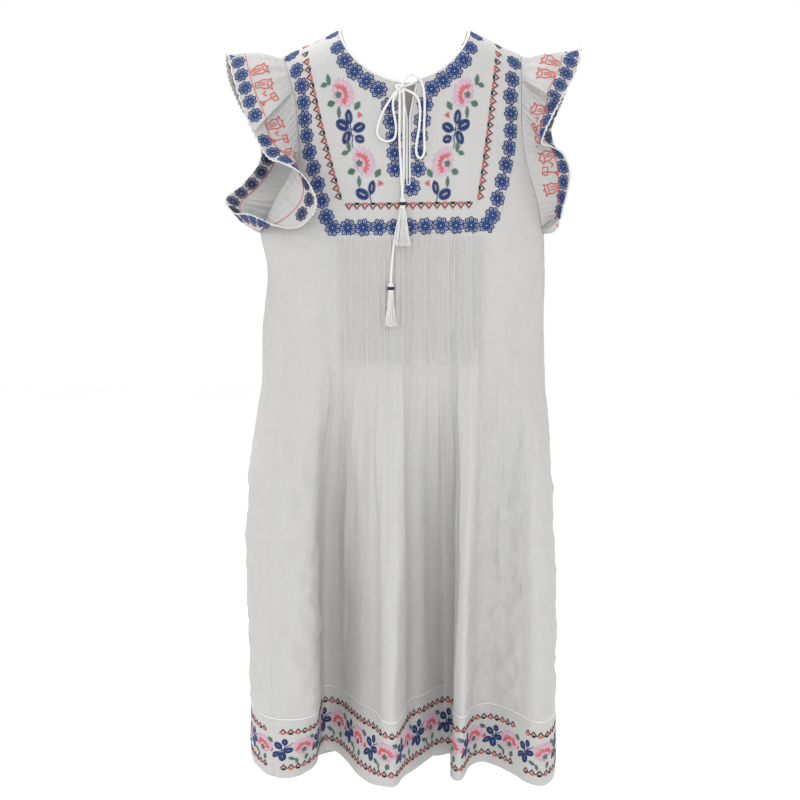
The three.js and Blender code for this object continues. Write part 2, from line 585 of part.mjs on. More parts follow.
const GORE_CELLS = 5;
function goreRow(side, down) {
  const share = smooth((down - SEAM_X.top) / (SEAM_X.settles - SEAM_X.top));
  const backX = side * lerp(Math.abs(armholeX(side, SEAM_X.top)), SEAM_X.chestBack, share);
  const front = sectionY(seamX(side, down), down, false);
  const back = sectionY(backX, down, true);
  const depths = [...spread(front, SHOULDER.y, GORE_CELLS), ...spread(SHOULDER.y, back, GORE_CELLS).slice(1)];
  const row = depths.map((y) => corner(new THREE.Vector3(sectionX(side, y, down), y, -down)));
  if (down === SEAM_X.top) {
    row.forEach((vertex, i) => {
      vertex.point.z -= UNDERARM * Math.sin((Math.PI * i) / (row.length - 1));
    });
  }
  return side < 0 ? row.reverse() : row;
}

function goreStations(side, cells, down) {
  const from = side < 0 ? SEAMS.backLeft - FOLDS.length : SEAMS.frontRight;
  const to = side < 0 ? SEAMS.frontLeft : SEAMS.backRight;
  const middle = side < 0 ? 0 : RIGHT_SIDE;
  return [...skirtRow(from, middle, cells, down), ...skirtRow(middle, to, cells, down).slice(1)];
}

function gore(side) {
  const upper = TUCK_ROWS.map((down) => goreRow(side, down));
  const lower = FOLD_ROWS.map((down) => goreStations(side, GORE_CELLS, down));
  const rows = [...upper, ...lower].map((row) => drawIn(row, SEAM_GAP / 2, SEAM_GAP / 2));
  return thicken(joinRows([], rows));
}

// Hem border and its piping

function hemBand(rowAt) {
  const rows = HEM_ROWS.map((down) => drawIn(rowAt(down), SEAM_GAP / 2, SEAM_GAP / 2));
  return thicken(joinRows([], rows));
}

function hemPiping() {
  const levels = [HEM_SEAM - PIPING.height / 2, HEM_SEAM + PIPING.height / 2];
  const rows = levels.map((down) => {
    const front = skirtRow(SEAMS.frontLeft, SEAMS.frontRight, FRONT_CELLS, down);
    const back = skirtRow(SEAMS.backRight, SEAMS.backLeft, BACK_CELLS, down);
    const [left, right] = [-1, 1].map((side) => goreStations(side, GORE_CELLS, down));
    const row = [...front, ...right.slice(1), ...back.slice(1), ...left.slice(1, -1)];
    return [...row, row[0]];
  });
  return thicken(joinRows([], rows), PIPING.thickness);
}

// Bindings

function neckBinding() {
  const edge = (side) => slitHalf(NECK.front) * side + SLIT.x;
  const turnAt = (x) => {
    const across = Math.abs((x - NECK.centre) / NECK.half) ** (NECK.power / 2);
    return Math.acos(Math.sign(x - NECK.centre) * across) / Math.PI;
  };
  const front = (turns) => turns.map((turn) => [turn, false]);
  const stops = [
    ...front([turnAt(edge(1)), ...frontTurns(1).reverse(), 0]),
    ...BACK_TURNS.map((turn) => [turn, true]),
    ...front([1, ...frontTurns(-1), turnAt(edge(-1))]),
  ];
  const row = (setBack) => stops.map(([turn, back]) => corner(neckPoint(turn, setBack, back)));
  return thicken(joinRows([], [row(NECK.strip), row(0)]), BINDING);
}

function slitBinding() {
  const top = -(NECK.front + NECK.strip + NECK.gap);
  const heights = DOWN_SHARES.slice(0, -1).map((share) => lerp(top, slitEnd, share)).concat(-SLIT.end);
  const at = (z, side, setBack) => {
    const x = SLIT.x + side * (slitHalf(-z) + setBack);
    return corner(bodyPoint(x, z));
  };
  const foot = (side, setBack) => {
    const x = SLIT.x + side * (SLIT.endHalf + setBack);
    return corner(bodyPoint(x, -SLIT.end - setBack));
  };
  const edge = (setBack) => [
    ...heights.map((z) => at(z, -1, setBack)),
    ...(setBack ? [foot(-1, setBack), foot(1, setBack)] : []),
    ...heights.slice().reverse().map((z) => at(z, 1, setBack)),
  ];
  return thicken(joinRows([], [edge(0), edge(SLIT.strip)]), BINDING);
}

// Flutter sleeves

// The corners of the panel's own edge at the armhole, from the shoulder down
function armholeEdge(side, back) {
  const tip = shoulderLine(back ? armholeX(side, SHOULDER.tip) : yokeSideX(side, SHOULDER.tip));
  const heights = back
    ? DOWN_SHARES.map((share) => lerp(tip, -SEAM_X.top, share))
    : [...yokeHeights(tip, yokeSideX(side, YOKE_BOTTOM.left)).slice(0, -1), -SEAM_X.top];
  return heights.map((z) => bodyPoint(armholeX(side, -z), z, back));
}

// The point of a falling line of corners at a given height
function alongEdge(corners, z) {
  const below = corners.findIndex((point) => point.z <= z);
  if (below === 0) return corners[0].clone();
  const [above, next] = [corners[below - 1], corners[below]];
  return above.clone().lerp(next, (above.z - z) / (above.z - next.z));
}

// The sewn edge, round the armhole: from the underarm up the front and down the back
function armholePoint(side, turn) {
  const back = turn > 0.5;
  const half = back ? 1 - turn : turn;
  const down = lerp(SEAM_X.top, SHOULDER.tip, clamp((half - SLEEVE.corner) / (0.5 - SLEEVE.corner)));
  const edge = alongEdge(armholeEdge(side, back), -down);
  if (half >= SLEEVE.corner) return edge;
  const share = half / SLEEVE.corner;
  const y = lerp(SHOULDER.y, edge.y, share);
  const z = -SEAM_X.top - UNDERARM * Math.cos((Math.PI * share) / 2);
  return new THREE.Vector3(sectionX(side, y, SEAM_X.top), y, z);
}

// The free edge, a smooth closed curve through its table
function freeEdge(table, turn) {
  const count = table.length;
  const at = ((turn % 1) + 1) % 1;
  let i = count - 1;
  while (table[i].turn > at) i--;
  const next = i === count - 1 ? 1 : table[i + 1].turn;
  const t = (at - table[i].turn) / (next - table[i].turn);
  return curved([-1, 0, 1, 2].map((k) => table[(i + k + count) % count]), t);
}

function flutterSleeve(side, table) {
  const step = 1 / SLEEVE.columns;
  const columns = Array.from({ length: SLEEVE.columns }, (_, i) => {
    const turn = i * step;
    const sewn = armholePoint(side, turn);
    const free = freeEdge(table, turn);
    const along = armholePoint(side, (turn + step) % 1).sub(armholePoint(side, (turn + 1 - step) % 1));
    const down = free.clone().sub(sewn);
    const out = along.cross(down).normalize();
    const away = (sewn.x + free.x) * out.x + (sewn.y + free.y - 2 * SHOULDER.y) * out.y;
    if (away < 0) out.negate();
    const under = 1 - smooth(Math.min(turn, 1 - turn) / (2 * SLEEVE.corner));
    const inward = 1 - Math.max(0, side * down.clone().normalize().x);
    const clear = new THREE.Vector3(side * (1 - under), 0, under).setLength(SLEEVE.off + SLEEVE.off * inward);
    const start = sewn.add(clear);
    return SLEEVE.rows.map((share) => {
      const gather = SLEEVE.gather * (i % 2 ? 1 : -1) * (1 - share) * clamp(share / SLEEVE.rows[1]);
      const rise = SLEEVE.bulge * Math.sin(Math.PI * share) + gather;
      return corner(start.clone().lerp(free, share).addScaledVector(out, rise));
    });
  });
  const rows = SLEEVE.rows.map((_, r) => {
    const row = columns.map((column) => column[r]);
    return [...row, row[0]];
  });
  return thicken(joinRows([], side < 0 ? rows : rows.map((row) => row.slice().reverse())));
}

// Neck tie

function solid(geometry) {
  const plain = geometry.clone();
  plain.deleteAttribute('normal');
  plain.deleteAttribute('uv');
  const merged = mergeVertices(plain, 1e-4);
  const mesh = new wasm.Mesh({
    numProp: 3,
    vertProperties: new Float32Array(merged.attributes.position.array),
    triVerts: new Uint32Array(merged.index.array),
  });
  return new wasm.Manifold(mesh);
}

function fromSolid(body) {
  const mesh = body.getMesh();
  const geometry = new THREE.BufferGeometry();
  geometry.setAttribute('position', new THREE.BufferAttribute(mesh.vertProperties, 3));
  geometry.setIndex(new THREE.BufferAttribute(mesh.triVerts, 1));
  geometry.computeVertexNormals();
  return geometry;
}

const vector = ([x, y, z]) => new THREE.Vector3(x, y, z);

function tube(points, steps) {
  const path = new THREE.CatmullRomCurve3(points.map(vector), false, 'centripetal');
  const section = new THREE.Shape();
  for (let i = 0; i < CORD.sides; i++) {
    const angle = (2 * Math.PI * i) / CORD.sides;
    const [x, y] = [CORD.radius * Math.cos(angle), CORD.radius * Math.sin(angle)];
    if (i) section.lineTo(x, y);
    else section.moveTo(x, y);
  }
  return new THREE.ExtrudeGeometry(section, { steps, bevelEnabled: false, extrudePath: path });
}

function knotGeometry(grow = 0) {
  const ball = new THREE.SphereGeometry(1, 14, 10);
  ball.scale(KNOT.rx + grow, KNOT.ry + grow, KNOT.rz + grow);
  return ball.translate(KNOT.x, KNOT.y, KNOT.z);
}

// A tassel's head, standing upright round its centre
function headGeometry(tassel, grow = 0) {
  const radius = HEAD.radius + grow;
  const [top, bottom] = [HEAD.above + grow, -HEAD.below - grow];
  const outline = [
    [0, bottom], [radius * 0.9, bottom], [radius, bottom * 0.35], [radius, top * 0.35],
    [radius * 0.6, top * 0.9], [0, top],
  ];
  const lathe = new THREE.LatheGeometry(outline.map(([x, y]) => new THREE.Vector2(x, y)), 12);
  lathe.rotateX(Math.PI / 2);
  return lathe.translate(...tassel.head);
}

const kept = (geometry, ...cutters) =>
  fromSolid(cutters.reduce((body, cutter) => body.subtract(solid(cutter)), solid(geometry)));

function tasselGeometry(tassel) {
  const [x, y, z] = tassel.head;
  let body = solid(headGeometry(tassel));
  const rings = [{ count: STRANDS.outer, reach: 1 }, { count: STRANDS.inner, reach: 0.5 }];
  for (const ring of rings) {
    for (let i = 0; i < ring.count; i++) {
      const angle = (2 * Math.PI * (i + 0.5 * ring.reach)) / ring.count;
      const root = new THREE.Vector3(
        x + STRANDS.root * HEAD.radius * ring.reach * Math.cos(angle),
        y + STRANDS.root * HEAD.radius * ring.reach * Math.sin(angle),
        z - HEAD.below + STRANDS.overlap,
      );
      const tip = new THREE.Vector3(
        x + tassel.spreadX * ring.reach * Math.cos(angle),
        y + tassel.lean + tassel.spreadY * ring.reach * Math.sin(angle),
        z - tassel.drop - STRANDS.uneven * Math.sin(5 * angle),
      );
      const upwards = root.clone().sub(tip);
      const strand = new THREE.CylinderGeometry(STRANDS.radius / 2, STRANDS.radius, upwards.length(), 3, 1);
      const turn = new THREE.Quaternion().setFromUnitVectors(new THREE.Vector3(0, 1, 0), upwards.normalize());
      strand.applyQuaternion(turn);
      strand.translate(...root.clone().lerp(tip, 0.5).toArray());
      body = body.add(solid(strand));
    }
  }
  return fromSolid(body);
}

// The thread wound round the foot of a tassel's head
function tasselBand(tassel) {
  const inner = HEAD.radius + HEAD.clear;
  const outer = inner + HEAD.band;
  const half = HEAD.bandHeight / 2;
  const outline = [[inner, -half], [outer, -half], [outer, half], [inner, half], [inner, -half]];
  const ring = new THREE.LatheGeometry(outline.map(([x, y]) => new THREE.Vector2(x, y)), 14);
  ring.rotateX(Math.PI / 2);
  const [x, y, z] = tassel.head;
  return ring.translate(x, y, z - HEAD.below / 2 + half / 2);
}

// The dress

const dress = new THREE.Group();
const cloth = (name, geometry) => {
  const mesh = new THREE.Mesh(geometry, finish(COLOURS.cloth, 0.9));
  mesh.name = name;
  dress.add(mesh);
};
const trim = (name, geometry, colour, roughness) => {
  const mesh = new THREE.Mesh(geometry, finish(colour, roughness));
  mesh.name = name;
  dress.add(mesh);
};

cloth('front_yoke', frontYoke());
cloth('front_panel', frontPanel());
cloth('back_panel', backPanel());
cloth('side_gore_left', gore(-1));
cloth('side_gore_right', gore(1));
cloth('sleeve_left', flutterSleeve(-1, LEFT_EDGE));
cloth('sleeve_right', flutterSleeve(1, RIGHT_EDGE));
cloth('neck_binding', neckBinding());
cloth('slit_binding', slitBinding());
cloth('hem_piping', hemPiping());
cloth('hem_border_front', hemBand((down) => skirtRow(SEAMS.frontLeft, SEAMS.frontRight, FRONT_CELLS, down)));
cloth('hem_border_left', hemBand((down) => goreStations(-1, GORE_CELLS, down)));
cloth('hem_border_right', hemBand((down) => goreStations(1, GORE_CELLS, down)));
cloth('hem_border_back', hemBand((down) => skirtRow(SEAMS.backRight, SEAMS.backLeft, BACK_CELLS, down)));

const knotClear = knotGeometry(HEAD.clear);
trim('tie_knot', knotGeometry(), COLOURS.cord, 0.8);
trim('tie_bridge', kept(tube(BRIDGE, 3), knotClear), COLOURS.cord, 0.8);
trim('tie_loop_left', kept(tube(LOOP_LEFT, 15), knotClear), COLOURS.cord, 0.8);
trim('tie_loop_right', kept(tube(LOOP_RIGHT, 22), knotClear), COLOURS.cord, 0.8);
const tailSteps = { short: 12, long: 20 };
for (const tassel of TASSELS) {
  const clear = headGeometry(tassel, HEAD.clear);
  const tail = kept(tube(tassel.tail, tailSteps[tassel.name]), knotClear, clear);
  trim(`tie_tail_${tassel.name}`, tail, COLOURS.cord, 0.8);
  trim(`tassel_${tassel.name}`, tasselGeometry(tassel), COLOURS.cord, 0.85);
  trim(`tassel_band_${tassel.name}`, tasselBand(tassel), COLOURS.thread, 0.6);
}

export default dress;
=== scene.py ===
import math
import bpy
import numpy as np
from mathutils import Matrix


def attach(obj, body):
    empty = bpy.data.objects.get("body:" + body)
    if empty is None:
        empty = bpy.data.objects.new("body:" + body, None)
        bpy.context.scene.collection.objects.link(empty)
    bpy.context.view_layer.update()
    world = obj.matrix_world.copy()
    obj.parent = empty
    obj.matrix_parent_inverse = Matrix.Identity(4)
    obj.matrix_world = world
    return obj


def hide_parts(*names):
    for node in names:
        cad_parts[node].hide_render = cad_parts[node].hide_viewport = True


# Peasant dress: fine cloth shells, bindings, pintucks, embroidery and a tasselled neck tie
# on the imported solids. Shapes are worked out in millimetres and turned into metres at the end.

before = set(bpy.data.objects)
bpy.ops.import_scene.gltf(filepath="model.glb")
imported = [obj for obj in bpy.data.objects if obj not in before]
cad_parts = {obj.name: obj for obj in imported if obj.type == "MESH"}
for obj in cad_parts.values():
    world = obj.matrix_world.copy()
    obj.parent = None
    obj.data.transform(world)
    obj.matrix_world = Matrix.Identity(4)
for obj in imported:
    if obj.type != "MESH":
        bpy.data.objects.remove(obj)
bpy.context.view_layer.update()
print("frame loaded:", len(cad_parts), "nodes")


camera = {"place": (0, -2.05, -0.164), "target": (0, 0, -0.544), "lens": 61.92, "shift": -0.0019}
down = math.atan2(camera["place"][2] - camera["target"][2], -camera["place"][1])
bpy.ops.object.camera_add(location=camera["place"], rotation=(math.pi / 2 - down, 0, 0))
viewer = bpy.context.object
viewer.data.lens = camera["lens"]
viewer.data.sensor_width = 36
viewer.data.shift_x = camera["shift"]
viewer.data.clip_end = 50
bpy.context.scene.camera = viewer

studio = {
    "floor": -1.32, "size": 9,
    "key": {"place": (-0.5, 0.75, 1.5), "aim": (0, 0, -0.2), "size": 0.8, "watts": 26},
    "front": {"place": (0.35, -2.9, 0.3), "aim": (0, 0, -0.65), "size": 0.9, "watts": 24},
    "side": {"place": (-2.7, -0.75, 0.7), "aim": (0, 0, -0.7), "size": 0.35, "watts": 8},
    "sky": 1.0,
}


def softLight(name, lamp):
    bpy.ops.object.light_add(type="AREA", location=lamp["place"])
    light = bpy.context.object
    light.name = name
    light.data.size = lamp["size"]
    light.data.energy = lamp["watts"]
    aim = np.subtract(lamp["aim"], lamp["place"])
    flat = math.hypot(aim[0], aim[1])
    light.rotation_euler = (math.atan2(flat, -aim[2]), 0, math.atan2(aim[1], aim[0]) - math.pi / 2)


for lampName in ("key", "front", "side"):
    softLight(lampName + "Light", studio[lampName])
world = bpy.data.worlds.new("studio")
bpy.context.scene.world = world
world.use_nodes = True
world.node_tree.nodes["Background"].inputs["Color"].default_value = (1, 1, 1, 1)
world.node_tree.nodes["Background"].inputs["Strength"].default_value = studio["sky"]
bpy.context.scene.view_settings.view_transform = "Standard"


class Wire:  # a socket that takes part in Python expressions
    def __init__(self, finish, socket):
        self.finish, self.socket = finish, socket

    def maths(self, operation, *others):
        values = [other if isinstance(other, Wire) else float(other) for other in others]
        return self.finish.node("ShaderNodeMath", {"operation": operation}, *values)

    def __add__(self, other): return self.maths("ADD", self, other)
    def __sub__(self, other): return self.maths("SUBTRACT", self, other)
    def __rsub__(self, other): return self.maths("SUBTRACT", other, self)
    def __mul__(self, other): return self.maths("MULTIPLY", self, other)
    __radd__, __rmul__ = __add__, __mul__

    def wave(self, length): return self.maths("SINE", self * (2 * math.pi / length))
    def within(self): return self.finish.node("ShaderNodeClamp", {}, self)


class Finish:  # one material and the nodes in it
    def __init__(self, name):
        self.material = bpy.data.materials.new(name)
        self.material.use_nodes = True
        self.tree = self.material.node_tree
        self.shader = self.tree.nodes["Principled BSDF"]

    def node(self, kind, settings, *values, out=0, **named):
        made = self.tree.nodes.new(kind)
        for key, value in settings.items():
            setattr(made, key, value)
        places = [*enumerate(values), *((key.replace("_", " "), value) for key, value in named.items())]
        for key, value in places:
            if isinstance(value, Wire):
                self.tree.links.new(value.socket, made.inputs[key])
            else:
                made.inputs[key].default_value = value
        return Wire(self, made.outputs[out])

    def set(self, **values):
        for key, value in values.items():
            place = self.shader.inputs[key.replace("_", " ")]
            if isinstance(value, Wire):
                self.tree.links.new(value.socket, place)
            else:
                place.default_value = value

    def axes(self, vector):
        split = self.node("ShaderNodeSeparateXYZ", {}, vector)
        outputs = split.socket.node.outputs
        return [Wire(self, outputs[k]) for k in range(3)]

    def noise(self, vector, scale, detail=3.0, stretch=(1, 1, 1), roughness=0.55):
        moved = self.node("ShaderNodeMapping", {}, vector, Scale=stretch)
        return self.node("ShaderNodeTexNoise", {}, moved, Scale=scale, Detail=detail, Roughness=roughness)

    def blend(self, factor, low, high):
        mixed = self.node("ShaderNodeMix", {"data_type": "RGBA"}, out=2)
        node = mixed.socket.node
        for place, value in ((0, factor), (6, low), (7, high)):
            if isinstance(value, Wire):
                self.tree.links.new(value.socket, node.inputs[place])
            elif place:
                node.inputs[place].default_value = (*value, 1)
            else:
                node.inputs[place].default_value = value
        return mixed

    def bump(self, height, distance, strength=1.0):
        return self.node("ShaderNodeBump", {}, Strength=strength, Distance=distance, Height=height)


def cottonCloth(name, warm, cool, slubAndCreaseShade, warp, weft, slub, crumple):
    finish = Finish(name)
    cloth = finish.node("ShaderNodeUVMap", {"uv_map": "cloth"})
    across, along, _ = finish.axes(cloth)
    threads = across.wave(warp) * 0.5 + along.wave(weft) * 0.5
    slubs = finish.noise(cloth, 1 / slub, 2, (0.06, 1, 1)) + finish.noise(cloth, 1 / slub, 2, (1, 0.05, 1)) * 0.8
    creased = finish.noise(cloth, 1 / crumple, 4, (1, 0.45, 1), 0.6)
    lit = finish.blend(finish.noise(cloth, 13, 2, (1, 0.16, 1)) * 2.4 - 0.7, warm, cool)
    # the crease noise that raises the bump also darkens the colour in its hollows: painted shade in the creases; the
    # slubs are the thread's own tone
    tone = (slubs * 0.62 + creased * 0.5 - 0.28).within()
    finish.set(Base_Color=finish.blend(tone, slubAndCreaseShade, lit), Roughness=(0.95 - slubs * 0.1), Sheen_Weight=0.2,
               Sheen_Roughness=0.5, Specular_IOR_Level=0.25,
               Normal=finish.bump(threads * 0.12 + slubs * 0.6 + creased * 1.5, 0.0012, 0.75))
    return finish.material


# light tones of the thread, a darker tone for thin slubs and for painted shade in the crease hollows, then the sizes of
# weave, slubs and creases in metres
cotton = cottonCloth("cottonVoile", warm=(0.520, 0.510, 0.491), cool=(0.510, 0.515, 0.520), slubAndCreaseShade=(0.46, 0.455, 0.445),
                     warp=0.0009, weft=0.001, slub=0.0028, crumple=0.016)
bias = cottonCloth("biasCotton", warm=(0.76, 0.75, 0.73), cool=(0.75, 0.752, 0.75), slubAndCreaseShade=(0.66, 0.657, 0.645),
                   warp=0.0007, weft=0.0007, slub=0.005, crumple=0.02)

floorFinish = Finish("paleFloor")
grain = floorFinish.noise(floorFinish.node("ShaderNodeTexCoord", {}, out=3), 3.0, 2)
floorFinish.set(Base_Color=floorFinish.blend(grain, (0.96, 0.96, 0.96), (0.98, 0.98, 0.98)), Roughness=0.9)
bpy.ops.mesh.primitive_plane_add(size=studio["size"], location=(0, 0, studio["floor"]))
floor = bpy.context.object
floor.name = "floor"
floor.data.materials.append(floorFinish.material)
print("camera, light and floor set")


def clamp(value): return np.clip(value, 0.0, 1.0)
def smooth(value): return clamp(value) ** 2 * (3 - 2 * clamp(value))
def mix(low, high, share): return low + (high - low) * share
def unit(vectors): return vectors / np.maximum(np.linalg.norm(vectors, axis=-1, keepdims=True), 1e-9)


def reachAlong(line):  # length from the start of a line to each of its points
    return np.concatenate([[0], np.cumsum(np.linalg.norm(np.diff(line, axis=0), axis=1))])


def readCurve(places, values, at):  # a smooth curve through a table's column
    places, values = np.asarray(places, float), np.asarray(values, float)
    at = np.clip(at, places[0], places[-1])
    last = len(places) - 1
    i = np.clip(np.searchsorted(places, at, side="right") - 1, 0, last - 1)
    before, after = np.maximum(np.arange(last + 1) - 1, 0), np.minimum(np.arange(last + 1) + 1, last)
    slope = (values[after] - values[before]) / (places[after] - places[before])
    width = places[i + 1] - places[i]
    t = (at - places[i]) / width
    a, b = values[i], values[i + 1]
    bend = (1 - t) * width * slope[i] - t * width * slope[i + 1] + (2 * t - 1) * (b - a)
    return mix(a, b, t) + t * (1 - t) * bend


def throughFour(a, b, c, d, t):
    return 0.5 * (2 * b + (c - a) * t + (2 * a - 5 * b + 4 * c - d) * t * t + (3 * b - a - 3 * c + d) * t ** 3)


def takeMesh(name, points, faces, cloth):  # points in millimetres, cloth coordinates in metres
    data = bpy.data.meshes.new(name)
    data.from_pydata((np.asarray(points) / 1000).tolist(), [], [tuple(face) for face in np.asarray(faces).tolist()])
    layCloth(data, cloth)
    data.validate()
    return addPiece(name, data)


def choose(piece):
    bpy.ops.object.select_all(action="DESELECT")
    piece.select_set(True)
    bpy.context.view_layer.objects.active = piece


def smoothEdges(piece, degrees=50):
    choose(piece)
    bpy.ops.object.shade_smooth_by_angle(angle=math.radians(degrees))


def gridFaces(rows, columns, start=0, closed=False):
    r, c = np.meshgrid(np.arange(rows - 1), np.arange(columns - (0 if closed else 1)), indexing="ij")
    r, c = r.ravel(), c.ravel()
    n = (c + 1) % columns
    return start + np.stack([r * columns + c, (r + 1) * columns + c, (r + 1) * columns + n, r * columns + n], 1)


def gridNormals(points):
    return unit(np.cross(np.gradient(points, axis=0), np.gradient(points, axis=1)))


def clothLengths(points):  # cloth coordinates in metres, measured along the grid
    steps = np.linalg.norm(np.diff(points, axis=1), axis=2).mean(axis=0)
    falls = np.linalg.norm(np.diff(points, axis=0), axis=2).mean(axis=1)
    across, along = np.concatenate([[0], np.cumsum(steps)]), np.concatenate([[0], np.cumsum(falls)])
    return np.stack(np.meshgrid(across, along), 2) / 1000


def addPiece(name, data):
    piece = bpy.data.objects.new(name, data)
    bpy.context.scene.collection.objects.link(piece)
    return piece


def finishPiece(piece, material, nodes):
    piece.data.materials.append(material)
    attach(piece, "root")
    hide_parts(*nodes)


def layCloth(data, cloth):  # a UV map of the cloth's own sizes
    layer = data.uv_layers.new(name="cloth")
    corners = np.empty(len(data.loops), dtype=np.int32)
    data.loops.foreach_get("vertex_index", corners)
    layer.data.foreach_set("uv", np.asarray(cloth, dtype=np.float32)[corners].ravel())


def inEdit(piece, step, **settings):  # one operator on all of a piece, in edit mode
    choose(piece)
    bpy.ops.object.mode_set(mode="EDIT")
    bpy.ops.mesh.select_all(action="SELECT")
    step(**settings)
    bpy.ops.object.mode_set(mode="OBJECT")


wall = {"thick": 0.001, "weld": 0.00002}  # of the cloth, in metres


def clothShell(name, grids, node, closed=False):
    points, faces, cloth, start = [], [], [], 0
    for grid, lengths in grids:
        rows, columns = grid.shape[:2]
        points.append(grid.reshape(-1, 3))
        cloth.append(lengths.reshape(-1, 2))
        faces.append(gridFaces(rows, columns, start, closed))
        start += rows * columns
    piece = takeMesh(name, np.concatenate(points), np.concatenate(faces), np.concatenate(cloth))
    inEdit(piece, bpy.ops.mesh.remove_doubles, threshold=wall["weld"])
    shell = piece.modifiers.new("wall", "SOLIDIFY")
    shell.thickness, shell.offset = wall["thick"], 0
    bpy.ops.object.modifier_apply(modifier="wall")
    smoothEdges(piece)
    finishPiece(piece, cotton, [node])
    print(name, len(piece.data.polygons), "faces")
    return piece


# The worn shape, as in the solids, in millimetres: downs are measured from the neck points
neck = {"centre": 4, "half": 91, "front": 75, "back": 72, "power": 1.7, "strip": 4, "gap": 0.5}
shoulder = {"slope": 38 / 80.5, "tip": 38, "y": 6, "round": 55}
slit = {"x": 9.5, "topHalf": 12, "endHalf": 0.7, "closes": 130, "end": 217, "strip": 2.6, "flare": 1.3}
yoke = {"left": 289, "right": 283, "leftX": -105, "rightX": 129}
tucks = {"count": 26, "firstX": -91, "lastX": 121, "top": 295, "end": 462,
         "ridgeAt": 0.24, "ridgeWide": 0.15, "opens": 26, "loses": 0.72, "diesOver": 330}
levels = {"chest": 466, "seam": 1010, "hem": 1113, "backDrop": 45, "underarm": 290, "settles": 450,
          "skirtFrom": 430, "skirtBlend": 36, "seamRoom": 1.6}
section = {"frontSquare": 2.2, "frontFlat": 0.46, "backSquare": 2.4, "backFlat": 0.5}
seamStations = {"frontLeft": 2.55, "frontRight": 27.3, "backRight": 34.45, "backLeft": 44.55}
seamChest = {"left": 172, "right": 169.5, "back": 170}
seamGap = 0.4
tuckPitch = (tucks["lastX"] - tucks["firstX"]) / tucks["count"]
rightSide = 32  # fold station of the right silhouette

bodyShape = {
    "down": [0, 43, 70, 96, 141, 170, 200, 245, 286, 340, 380, 437, 515, 590, 660, 740, 840, 1010, 1130],
    "left": [192, 190, 181, 176, 169, 168, 174, 193, 207.5, 198.5, 201, 208, 211, 224, 233, 238, 238, 237, 239],
    "right": [198, 198, 199, 200, 197, 198, 201, 207, 210, 212, 213, 213, 216, 224, 228, 231, 236, 237, 239],
    "front": [60, 66, 72, 78, 87, 92, 97, 104, 110, 110, 109, 107, 107, 107, 107, 107, 107, 107, 107],
    "back": [54, 62, 70, 78, 88, 92, 94, 95, 93, 93, 93, 93, 93, 93, 93, 93, 93, 93, 93],
}
armholeEdge = {
    "down": [38, 60, 96, 141, 170, 200, 245, 290],
    "left": [171, 163, 152, 147.5, 146, 155, 182, 203],
    "right": [172, 171, 170.5, 171.5, 175, 182, 196, 205.5],
}
yokeEdge = {
    "down": [38, 60, 96, 141, 165, 198, 230, 262, 276, 283, 289],
    "left": [166.5, 159, 148.3, 143.8, 139, 129.5, 124, 119, 113, 109, 105],
    "right": [168, 167.5, 166.5, 165, 163, 157, 148.5, 140.5, 133.5, 129, 129],
}
# Fold stations round the skirt: x at the chest, x and y at the hem seam, x and y at the hem
folds = np.array([
    (-210, -238, 0, -240, 15), (-203, -228, -58, -228, -40), (-184, -208, -96, -208, -75),
    (-163, -184, -110, -184, -92), (-147, -160, -111, -162, -88), (-132, -141, -103, -145, -70),
    (-118, -128, -82, -133, -42), (-106, -128, -30, -130, -8), (-94, -124, 18, -121, 8),
    (-80, -98, 9, -100, -4), (-65, -79, -22, -83, -38), (-50, -60, -56, -66, -82),
    (-35, -40, -80, -47, -110), (-20, -26, -116, -29, -120), (-6, -9, -122, -10, -121),
    (7, 3, -84, 4, -86), (19, 12, -38, 20, -63), (32, 34, -18, 35, -38), (45, 53, 8, 52, -12),
    (58, 71, 24, 70, -4), (70, 87, -4, 84, -20), (80, 80, -56, 76, -62), (90, 81, -88, 77, -94),
    (101, 95, -101, 90, -99), (114, 110, -62, 105, -54), (131, 131, -51, 125, -36),
    (148, 151, -59, 146, -49), (165, 175, -85, 169, -77), (180, 196, -116, 192, -110),
    (190, 215, -119, 213, -118), (199, 231, -90, 230, -92), (206, 238, -40, 239, -45),
    (210, 240, 5, 241, 5), (202, 234, 48, 234, 50), (182, 212, 80, 212, 82), (155, 176, 72, 176, 74),
    (125, 142, 88, 142, 90), (90, 100, 100, 100, 102), (55, 58, 80, 58, 82), (18, 18, 96, 18, 98),
    (-20, -28, 102, -28, 104), (-57, -66, 82, -66, 84), (-93, -108, 98, -108, 100),
    (-128, -150, 76, -150, 78), (-158, -186, 90, -186, 92), (-184, -218, 74, -218, 76),
    (-203, -236, 44, -236, 46),
], float)
foldHalf = {"chest": 210, "hem": 238, "settle": 1.5, "backFrom": -10, "backOver": 90}


def sided(table, side, at):  # side is an array of signs, or one sign
    return np.where(np.asarray(side) < 0, readCurve(table["down"], table["left"], at),
                    readCurve(table["down"], table["right"], at))


def halfWidth(x, down): return sided(bodyShape, np.sign(x), down)
def armholeX(side, down): return side * sided(armholeEdge, side, down)
def yokeSideX(side, down): return side * sided(yokeEdge, side, down)
def shoulderLine(x): return -shoulder["slope"] * np.maximum(0, np.abs(x - neck["centre"]) - neck["half"])


def sectionY(x, down, back):
    share = np.abs(x) / halfWidth(x, down)
    middle = shoulder["y"]
    behind = readCurve(bodyShape["down"], bodyShape["back"], down)
    ahead = readCurve(bodyShape["down"], bodyShape["front"], down)
    rear = middle + (behind - middle) * clamp(1 - share ** section["backSquare"]) ** section["backFlat"]
    fore = middle - (ahead + middle) * clamp(1 - share ** section["frontSquare"]) ** section["frontFlat"]
    return np.where(back, rear, fore)


def bodyPoint(x, z, back=False):
    x, z = np.broadcast_arrays(np.asarray(x, float), np.asarray(z, float))
    below = clamp((shoulderLine(x) - z) / shoulder["round"])
    rounded = np.sqrt(np.maximum(0, 1 - (1 - below) ** 2))
    return np.stack([x, mix(shoulder["y"], sectionY(x, -z, back), rounded), z], -1)


